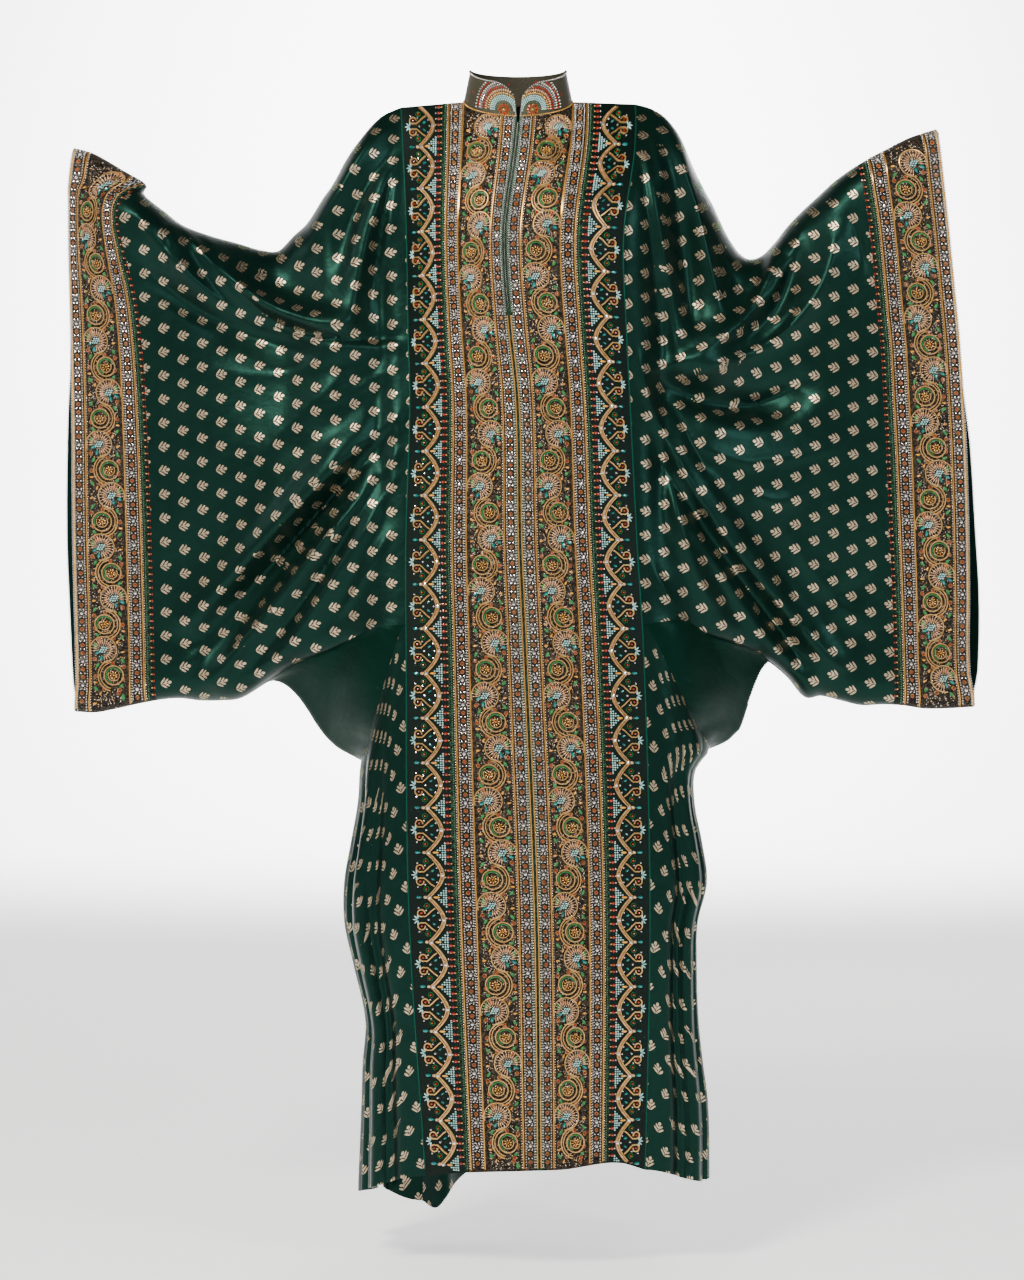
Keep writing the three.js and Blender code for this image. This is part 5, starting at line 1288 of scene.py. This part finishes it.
def brocade(name):
    """Woven brocade: an olive ground with an uneven gold fleck and small dark red dots."""
    made, tree, shader = start_material(name, "#2A2A20", Roughness=0.55, Specular_IOR_Level=0.25)
    cloth = node(tree, "Attribute", attribute_name="cloth").outputs["Vector"]
    fleck = node(tree, "TexNoise", {"Vector": cloth, "Scale": 1 / 1.8, "Detail": 2.0})
    ground = blend(tree, fleck.outputs[0], "#151A14", "#4C4836")
    dots = node(tree, "TexVoronoi", {"Vector": cloth, "Scale": 1 / 13.0, "Randomness": 0.5})
    red = node(tree, "MapRange", {0: dots.outputs["Distance"], 1: 0.12, 2: 0.17, 3: 1.0, 4: 0.0})
    tree.links.new(blend(tree, red.outputs[0], ground, "#8A0E18"), shader.inputs["Base Color"])
    add_weave(tree, shader, cloth, 1.2, 0.4)
    return made


def thread_metal(name, colour, lit, roughness, metallic=0.85):
    """Metal thread or beads whose brightness varies from strand to strand."""
    made, tree, shader = start_material(name, colour, Roughness=roughness, Metallic=metallic)
    place = node(tree, "TexCoord").outputs["Object"]
    grain = node(tree, "TexNoise", {"Vector": place, "Scale": 1 / (4 * MM), "Detail": 1.0})
    tree.links.new(blend(tree, grain.outputs[0], colour, lit), shader.inputs["Base Color"])
    return made


def gem(name, colour, lit, roughness=0.08):
    """Cut or pressed glass, backed with foil: a deep colour under a bright, smooth face."""
    made, tree, shader = start_material(
        name, colour, Roughness=roughness, IOR=1.6, Coat_Weight=0.6, Coat_Roughness=0.04
    )
    place = node(tree, "TexCoord").outputs["Object"]
    grain = node(tree, "TexNoise", {"Vector": place, "Scale": 1 / (6 * MM), "Detail": 0.0})
    tree.links.new(blend(tree, grain.outputs[0], colour, lit), shader.inputs["Base Color"])
    return made


BEADS = {
    "gold_rope": thread_metal("twisted_gilt_cord", "#946420", "#ECB862", 0.33, 0.7),
    "rope_beads": thread_metal("silver_gilt_beads", "#C8AC84", "#FFF8EA", 0.18, 0.8),
    "gold_thread": thread_metal("gilt_purl_wire", "#A0742E", "#F6C884", 0.33, 0.65),
    "gold_petals": thread_metal("gilt_sequin_petals", "#BE8630", "#F8D084", 0.22),
    "rose_petals": thread_metal("rose_gilt_purl", "#946640", "#F8D0A6", 0.3, 0.7),
    "silver_petals": thread_metal("silvered_purl", "#7A7062", "#FBF0DC", 0.26, 0.75),
    "silver_beads": thread_metal("silvered_glass_beads", "#A89E90", "#FFFFFF", 0.16, 0.7),
    "green_seeds": gem("green_glass_seeds", "#07301A", "#1C6636", 0.3),
    "green_thread": thread_metal("green_silk_thread", "#0C4A20", "#2E8A46", 0.4, 0.3),
    "crystals": thread_metal("foiled_crystal", "#B4ADA6", "#FFFFFF", 0.08, 0.75),
    "red_stones": gem("red_pressed_glass", "#5C0E08", "#B0341A", 0.14),
    "teal_stones": gem("teal_cut_glass", "#012B2A", "#0A8E88"),
    "aqua_beads": gem("aqua_glass_beads", "#6CAAA4", "#C0E6E2", 0.2),
    "amber_drops": gem("amber_glass_drops", "#B06410", "#F0B03C"),
}
FACETED = ("crystals", "teal_stones", "red_stones")


def add_beadwork(prefix, drawn, surface):
    """One joined piece for each finish of a drawn design, laid on its surface."""
    made = []
    for finish, parts in drawn.items():
        vertices, faces = lay(join(parts), surface)
        smooth_faces = finish not in FACETED
        piece = add_mesh(f"{prefix}_{finish}", vertices, [faces], BEADS[finish], smooth_faces=smooth_faces)
        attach(piece, "root")
        made.append(piece)
    return made


# The cloths
SPRIG_ASIDE = -102    # on the sleeves the sprigs point to the body and a little up
BIAS = 22.3          # degrees by which the gores' and the back's grain leans to the front strip
SPRIG_UP = 28.3      # on that grain the sprigs stand upright
BODY_SILK = figured_silk("jacquard_silk_of_the_body", 25.7, 30.4, 18.3, SPRIG_UP)
SLEEVE_SILK = figured_silk("jacquard_silk_of_the_sleeves", 24.6, 30.3, 9.7, SPRIG_ASIDE)
SATIN = plain_cloth("plain_silk_satin", "#03160F", "#041F17", 0.36, 0.06, 0.9, 1.6)
VELVET = plain_cloth("cotton_velvet", "#03100D", "#061813", 0.8, 0.25, 0.8, 0.5)
PIPING = plain_cloth("silk_piping", "#08342A", "#0E4A3C", 0.36, 0.1, 0.8, 0.2)
STRIP_GROUND = beaded_ground("beaded_silk_of_the_strip", 0.0)
CUFF_GROUND = beaded_ground("beaded_silk_of_the_cuffs", CUFF_OFFSET)
COLLAR_BROCADE = brocade("woven_brocade")
ZIP_METAL = thread_metal("nickel_plated_zinc", "#8C8A84", "#C8C6C0", 0.3)


def finish_cloth(piece, nodes):
    """Attaches one sheet of cloth to the root and hides the parts of the model that it stands for."""
    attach(piece, "root")
    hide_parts(*nodes)


def make_body():
    """The front strip with its slit, and the back panel."""
    half = np.linspace(SLIT_HALF, STRIP_HALF, 33)
    places = np.concatenate([-half[::-1], half])
    points = body_grid(places, 4 * ROWS_UPPER, 4 * ROWS_LOWER, True)
    middle = len(half) - 1
    cut = np.zeros((points.shape[0] - 1, points.shape[1] - 1), bool)
    cut[:, middle] = points[1:, middle, 2] > SLIT_BOTTOM
    cloth = (np.broadcast_to(places, points.shape[:2]), points[..., 2])
    strip = add_shell("front_strip", points, 1, STRIP_GROUND, cloth, cut=cut)
    finish_cloth(strip, ["front_panel"])

    places = np.linspace(-STRIP_HALF, STRIP_HALF, 97)
    points = body_grid(places, 6 * ROWS_BACK, 6 * ROWS_GORE, False)
    across, down = lengths_of(points)
    back = add_shell("back_cloth", points, -1, BODY_SILK, on_the_bias(across, -down))
    finish_cloth(back, ["back_panel"])


def make_sides():
    """Both sleeves, gores and gussets as thin walls whose grids meet edge to edge."""
    for name, side in SIDES.items():
        sign = side["sign"]
        sleeve = sleeve_grid(name)
        ridge = ROWS_UPPER * FINE_FRONT
        for layer, points in (("front", sleeve[: ridge + 1]), ("back", sleeve[ridge:])):
            flat = unfold(points, np.abs(points[..., 0]), -points[..., 2])
            piece = add_shell(f"sleeve_cloth_{layer}_{name}", points, -sign, SLEEVE_SILK, flat)
            finish_cloth(piece, [f"sleeve_{layer}_{name}"])
        gore = gore_grid(name)
        across, down = unfold(gore, *lengths_of(gore))
        piece = add_shell(f"gore_cloth_{name}", gore, sign, BODY_SILK, on_the_bias(across, -down))
        finish_cloth(piece, [f"side_gore_{name}"])
        gusset = gusset_grid(name, sleeve, gore)
        across, down = lengths_of(gusset)
        piece = add_shell(f"gusset_cloth_{name}", gusset, sign, SATIN, (across, down))
        finish_cloth(piece, [f"gusset_{name}"])


def make_cuffs():
    """The cuff bands with their beadwork in front and behind, and the velvet facings inside them."""
    for name, side in SIDES.items():
        sign = side["sign"]
        band = cuff_grid(name, 18)
        _, around = lengths_of(band)
        across = np.broadcast_to(np.linspace(CUFF_WIDTH, 0, 19), around.shape)
        piece = add_shell(f"cuff_cloth_{name}", band, -sign, CUFF_GROUND, (across, around))
        finish_cloth(piece, [f"cuff_band_{name}"])
        flat = (across[:, 4:], around[:, 4:])
        facing = add_shell(
            f"facing_cloth_{name}", band[:, 4:], -sign, VELVET, flat, INNER_WALL, INNER_HEIGHT
        )
        finish_cloth(facing, [f"cuff_facing_{name}"])
        for front in (True, False):
            surface, outward, ends = cuff_surface(name, front)
            drawn = {}
            across_cuff = lambda offset: outward * (CUFF_WIDTH / 2 + CUFF_OFFSET - offset)
            draw_columns(drawn, across_cuff, ends, (CUFF_OFFSET + 6, CUFF_LAST))
            edge = across_cuff(CUFF_OFFSET + 1.4)
            put(drawn, "gold_rope", rope(straight(edge, *ends(edge)), 3.4, 2.6))
            draw_vine(drawn, across_cuff(VINE_MIDDLE), ends, CUFF_VINE_START)
            scatter_seeds(drawn, across_cuff(VINE_MIDDLE), VINE_HALF, ends, 15, 11 if front else 12)
            add_beadwork(f"cuff_{name}_{'front' if front else 'back'}", drawn, surface)


def make_strip_beadwork():
    """The strip's bands of beadwork on both sides of its middle, and its scalloped borders."""
    for sign, name in ((-1, "right"), (1, "left")):
        drawn, arches = {}, {}
        across = lambda offset: sign * np.asarray(offset, float)
        draw_columns(drawn, across, strip_ends, (0, 200))
        draw_vine(drawn, float(across(VINE_MIDDLE)), strip_ends, STRIP_VINE_START)
        scatter_seeds(drawn, float(across(VINE_MIDDLE)), VINE_HALF, strip_ends, 14.5, 21 + sign)
        draw_scallops(drawn, arches, across, SCALLOP_LOW, SCALLOP_HIGH)
        clear_of_hem(drawn, strip_ends)
        clear_of_hem(arches, strip_ends)
        add_beadwork(f"strip_{name}", drawn, strip_surface)
        made = add_beadwork(f"border_{name}", arches, strip_surface)
        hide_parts(f"scallop_border_{name}")


def make_collar():
    """The standing band, with stones and beads on its front and along its top edge."""
    turn = np.linspace(0, 1, 121)
    share = np.linspace(1, 0, 13)
    points = collar_at(np.broadcast_to(turn, (13, 121)), np.broadcast_to(share[:, None], (13, 121)))
    across, down = lengths_of(points)
    piece = add_shell("collar_cloth", points, -1, COLLAR_BROCADE, (across, -down))
    finish_cloth(piece, ["collar"])
    girth = across[-1, -1]

    def surface(x, y):
        turn = np.clip(1 - x / girth, 0, 1)
        return collar_at(turn, np.clip(y / collar_height(turn), 0, 1))

    def inside(x, y):
        return (x > 1.6) & (x < girth - 1.6) & (y > 1.8) & (y < collar_height(1 - x / girth) - 2.6)

    drawn = {}
    for start, direction in ((0.0, 1), (girth, -1)):
        draw_fan(drawn, start, direction, inside)
    x = np.arange(2, girth - 2, 2.9)
    put(drawn, "silver_beads", repeat(stone(2.4, 2.0, 1.5, 5), x, collar_height(1 - x / girth) - 1.2))
    put(drawn, "gold_rope", repeat(stone(3.4, 2.4, 1.3, 6), x, 1.6, 0.5))
    for start, direction in ((0.0, 1), (girth, -1)):
        y = np.arange(2.0, collar_height(0.0) - 1, 2.7)
        put(drawn, "silver_beads", repeat(stone(2.2, 2.2, 1.6, 5), start + direction * 1.2, y))
    add_beadwork("collar", drawn, surface)


# The fan on each front tip of the collar, rings round a point this far from the tip and the foot
FAN_PLACE = (16.0, 9.0)
FAN_RINGS = table(
    "radius pitch long wide",
    (13.2, 2.7, 2.7, 2.5), (15.7, 2.7, 2.7, 2.5), (18.2, 2.7, 2.7, 2.5), (21.8, 3.0, 4.4, 2.7),
    (25.6, 3.2, 4.0, 2.9), (29.0, 4.4, 3.8, 3.8), (32.4, 3.2, 3.0, 3.0), (35.6, 3.4, 3.0, 3.0),
    (39.0, 4.6, 3.4, 3.4), (42.4, 4.2, 2.6, 2.6),
)
FAN_FINISHES = (
    "aqua_beads", "aqua_beads", "aqua_beads", "gold_petals", "rose_petals", "red_stones", "crystals",
    "silver_beads", "red_stones", "silver_beads",
)


def draw_fan(drawn, start, direction, inside):
    """A rosette by one tip of the collar with rings of beads opening upward and outward round it."""
    cx, cy = start + direction * FAN_PLACE[0], FAN_PLACE[1]
    for k, finish in enumerate(FAN_FINISHES):
        ring_of = {name: values[k] for name, values in FAN_RINGS.items()}
        turn = np.radians(np.arange(-4, 184, math.degrees(ring_of["pitch"] / ring_of["radius"])))
        x, y = circle(cx, cy, ring_of["radius"], turn)
        keep = inside(x, y)
        bead = stone(ring_of["long"], ring_of["wide"], 1.9, 6)
        put(drawn, finish, repeat(bead, x[keep], y[keep], turn[keep]))
    turn = np.arange(8) * math.pi / 4
    put(drawn, "red_stones", repeat(stone(3.6, 3.6, 2.4, 7), *circle(cx, cy, 5.6, turn)))
    put(drawn, "gold_thread", repeat(ring(1.9, 1.2, 1.6, 7), *circle(cx, cy, 5.6, turn)))
    put(drawn, "gold_petals", repeat(stone(4.6, 4.6, 2.6, 8), cx, cy))
    turn = np.arange(20) * math.pi / 10
    x, y = circle(cx, cy, 9.4, turn)
    keep = inside(x, y)
    put(drawn, "green_seeds", repeat(stone(2.4, 2.4, 1.4, 5), x[keep], y[keep]))


def make_zip():
    """The tape behind the slit and the two rows of small metal teeth on it."""
    places, z = np.meshgrid(np.linspace(-10, 10, 9), np.linspace(-30, SLIT_BOTTOM, 60))
    points = body_at(places, z, True)
    tape = add_shell("zip_cloth", points, 1, VELVET, (places, points[..., 2]), INNER_WALL, INNER_HEIGHT)
    finish_cloth(tape, ["zip_tape"])
    y = np.arange(-34, SLIT_BOTTOM, -2.4)
    tooth = stone(1.8, 1.2, 0.9, 6)
    rows = join([repeat(tooth, -0.5, y), repeat(tooth, 0.5, y - 1.2)])
    vertices, faces = lay(rows, strip_surface)
    behind_slit = np.array([0.0, 1.9, 0.0])
    teeth = add_mesh("zip_teeth", vertices + behind_slit, [faces], ZIP_METAL)
    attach(teeth, "root")


def add_piping(name, line, radius, material):
    """A round cord along a line of points: six points round each, closed at its ends."""
    direction = np.gradient(line, axis=0)
    direction /= np.linalg.norm(direction, axis=1, keepdims=True)
    side = np.cross(direction, [0.0, 1.0, 0.0])
    side /= np.maximum(np.linalg.norm(side, axis=1, keepdims=True), 1e-9)
    other = np.cross(direction, side)
    turn = np.arange(6) * math.pi / 3
    spokes = side[:, None] * np.cos(turn)[:, None] + other[:, None] * np.sin(turn)[:, None]
    rings = line[:, None] + radius * spokes
    count = len(line)
    i, j = np.meshgrid(np.arange(count - 1), np.arange(6), indexing="ij")
    first, following = (i * 6 + j).ravel(), (i * 6 + (j + 1) % 6).ravel()
    quads = np.stack([first, first + 6, following + 6, following], axis=1)
    ends = np.stack([np.arange(6), np.arange(6)[::-1] + 6 * (count - 1)])
    vertices = rings.reshape(-1, 3)
    around, along = np.tile(turn * radius, count), np.repeat(np.arange(count) * 2.0, 6)
    cloth = np.column_stack([around, along, np.zeros(count * 6)])
    piece = add_mesh(name, vertices, [quads, ends], material, cloth)
    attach(piece, "root")


def make_piping():
    """A fine cord of silk in the strip's two long seams, and beads along the facings' free edges."""
    for name, side in SIDES.items():
        z = np.linspace(side["shoulder"] - 2, -1366, 240)
        line = body_at(np.full(240, side["sign"] * STRIP_HALF), z, True)
        add_piping(f"seam_piping_{name}", line + [0, -0.6, 0], 1.1, PIPING)
        band = cuff_grid(name, 18)
        edge = band[:, -1]
        step = np.concatenate([[0], np.cumsum(np.linalg.norm(np.diff(edge, axis=0), axis=1))])
        at = np.arange(2, step[-1] - 2, 3.2)
        points = np.stack([np.interp(at, step, edge[:, k]) for k in range(3)], axis=1)
        vertices, faces = stone(2.6, 2.6, 1.4, 6)
        turned = np.stack([vertices[:, 2] * side["sign"], vertices[:, 0], vertices[:, 1]], axis=1)
        moved = points[:, None] + turned[None] + [side["sign"] * 0.4, 0, 0]
        all_faces = (faces[None] + (np.arange(len(points)) * len(vertices))[:, None, None]).reshape(-1, 3)
        all_faces = all_faces if side["sign"] > 0 else all_faces[:, ::-1]
        vertices = moved.reshape(-1, 3)
        beads = add_mesh(f"facing_edge_beads_{name}", vertices, [all_faces], BEADS["silver_beads"])
        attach(beads, "root")


# The studio

# In metres: the paper's floor, where it starts to curve up, the curve, its top and its half width
FLOOR_Z = -1.495
FLOOR_FRONT = -12.0
FLOOR_BACK = 8.0
PAPER_CURVE = 1.5
PAPER_TOP = 9.0
PAPER_HALF = 12.0
# Each light's place, the point that it faces, its size in metres, power in watts, spread and colour
LIGHTS = (
    ("key_softbox", (-1.4, -3.0, 1.9), (0.0, 0.0, -0.7), 1.0, 215, 180, "#FFF6EC"),
    ("fill_softbox", (2.6, -3.1, 1.2), (0.0, 0.0, -0.7), 1.0, 75, 180, "#F4F8FF"),
    ("side_softbox", (-3.0, -0.9, 1.0), (0.0, 0.0, -0.7), 1.0, 15, 180, "#F4F8FF"),
    ("back_softbox", (1.2, 3.6, 1.0), (0.0, 0.0, -0.7), 1.2, 30, 180, "#FFFFFF"),
    ("wall_light", (0.0, 3.4, 4.2), (0.0, 9.0, 0.6), 3.0, 900, 80, "#FFFFFF"),
)


def make_paper():
    """A pale floor that curves up into the wall behind."""
    bend = np.radians(np.linspace(0, 90, 12))
    curve_y = FLOOR_BACK + PAPER_CURVE * np.sin(bend)
    curve_z = FLOOR_Z + PAPER_CURVE * (1 - np.cos(bend))
    profile = np.vstack([
        [(FLOOR_FRONT, FLOOR_Z), (FLOOR_BACK, FLOOR_Z)],
        np.stack([curve_y, curve_z], axis=1)[1:],
        [(FLOOR_BACK + PAPER_CURVE, PAPER_TOP)],
    ])
    count = len(profile)
    points = np.zeros((2, count, 3))
    points[:, :, 1:] = profile
    points[0, :, 0], points[1, :, 0] = -PAPER_HALF, PAPER_HALF
    i = np.arange(count - 1)
    quads = np.stack([i, i + count, i + count + 1, i + 1], axis=1)
    paper, _, _ = start_material(
        "seamless_studio_paper", "#F2F2F2", Roughness=0.9, Emission_Strength=0.95
    )
    floor = add_mesh("studio_floor", points.reshape(-1, 3) / MM, [quads], paper)


def make_lights():
    """Large soft lights, one that lights the wall behind, and a little light from everywhere."""
    for name, place, target, size, power, spread, colour in LIGHTS:
        data = bpy.data.lights.new(name, "AREA")
        data.shape = "DISK"
        data.size = size
        data.energy = power
        data.color = linear(colour)[:3]
        data.spread = math.radians(spread)
        light = bpy.data.objects.new(name, data)
        light.location = place
        light.rotation_euler = look(np.array(target) - np.array(place))
        bpy.context.scene.collection.objects.link(light)
    world = bpy.data.worlds.new("studio_air")
    world.use_nodes = True
    world.node_tree.nodes["Background"].inputs[0].default_value = linear("#DDE0E4")
    world.node_tree.nodes["Background"].inputs[1].default_value = 0.05
    bpy.context.scene.world = world


def look(aim):
    """The turn that points a light or camera along a direction, with its top upward."""
    x, y, z = aim
    flat = math.hypot(x, y)
    return (math.atan2(flat, -z), 0.0, math.atan2(-x, y))


CAMERA_DISTANCE = 4.2       # metres from the middle of the robe
FRAME_HEIGHT = 1.664        # what the picture's height takes in at that distance
CAMERA_X = -0.008
CAMERA_Z = -0.695


def make_camera():
    """A level camera straight in front; the lens is worked out from the frame's height."""
    data = bpy.data.cameras.new("camera")
    data.sensor_width = 36.0
    data.lens = data.sensor_width * CAMERA_DISTANCE / FRAME_HEIGHT
    camera = bpy.data.objects.new("camera", data)
    camera.location = (CAMERA_X, -CAMERA_DISTANCE, CAMERA_Z)
    camera.rotation_euler = (math.pi / 2, 0.0, 0.0)
    bpy.context.scene.collection.objects.link(camera)
    bpy.context.scene.camera = camera


make_camera()
make_paper()
make_lights()
make_body()
make_sides()
make_cuffs()
make_collar()
make_zip()
make_strip_beadwork()
make_piping()
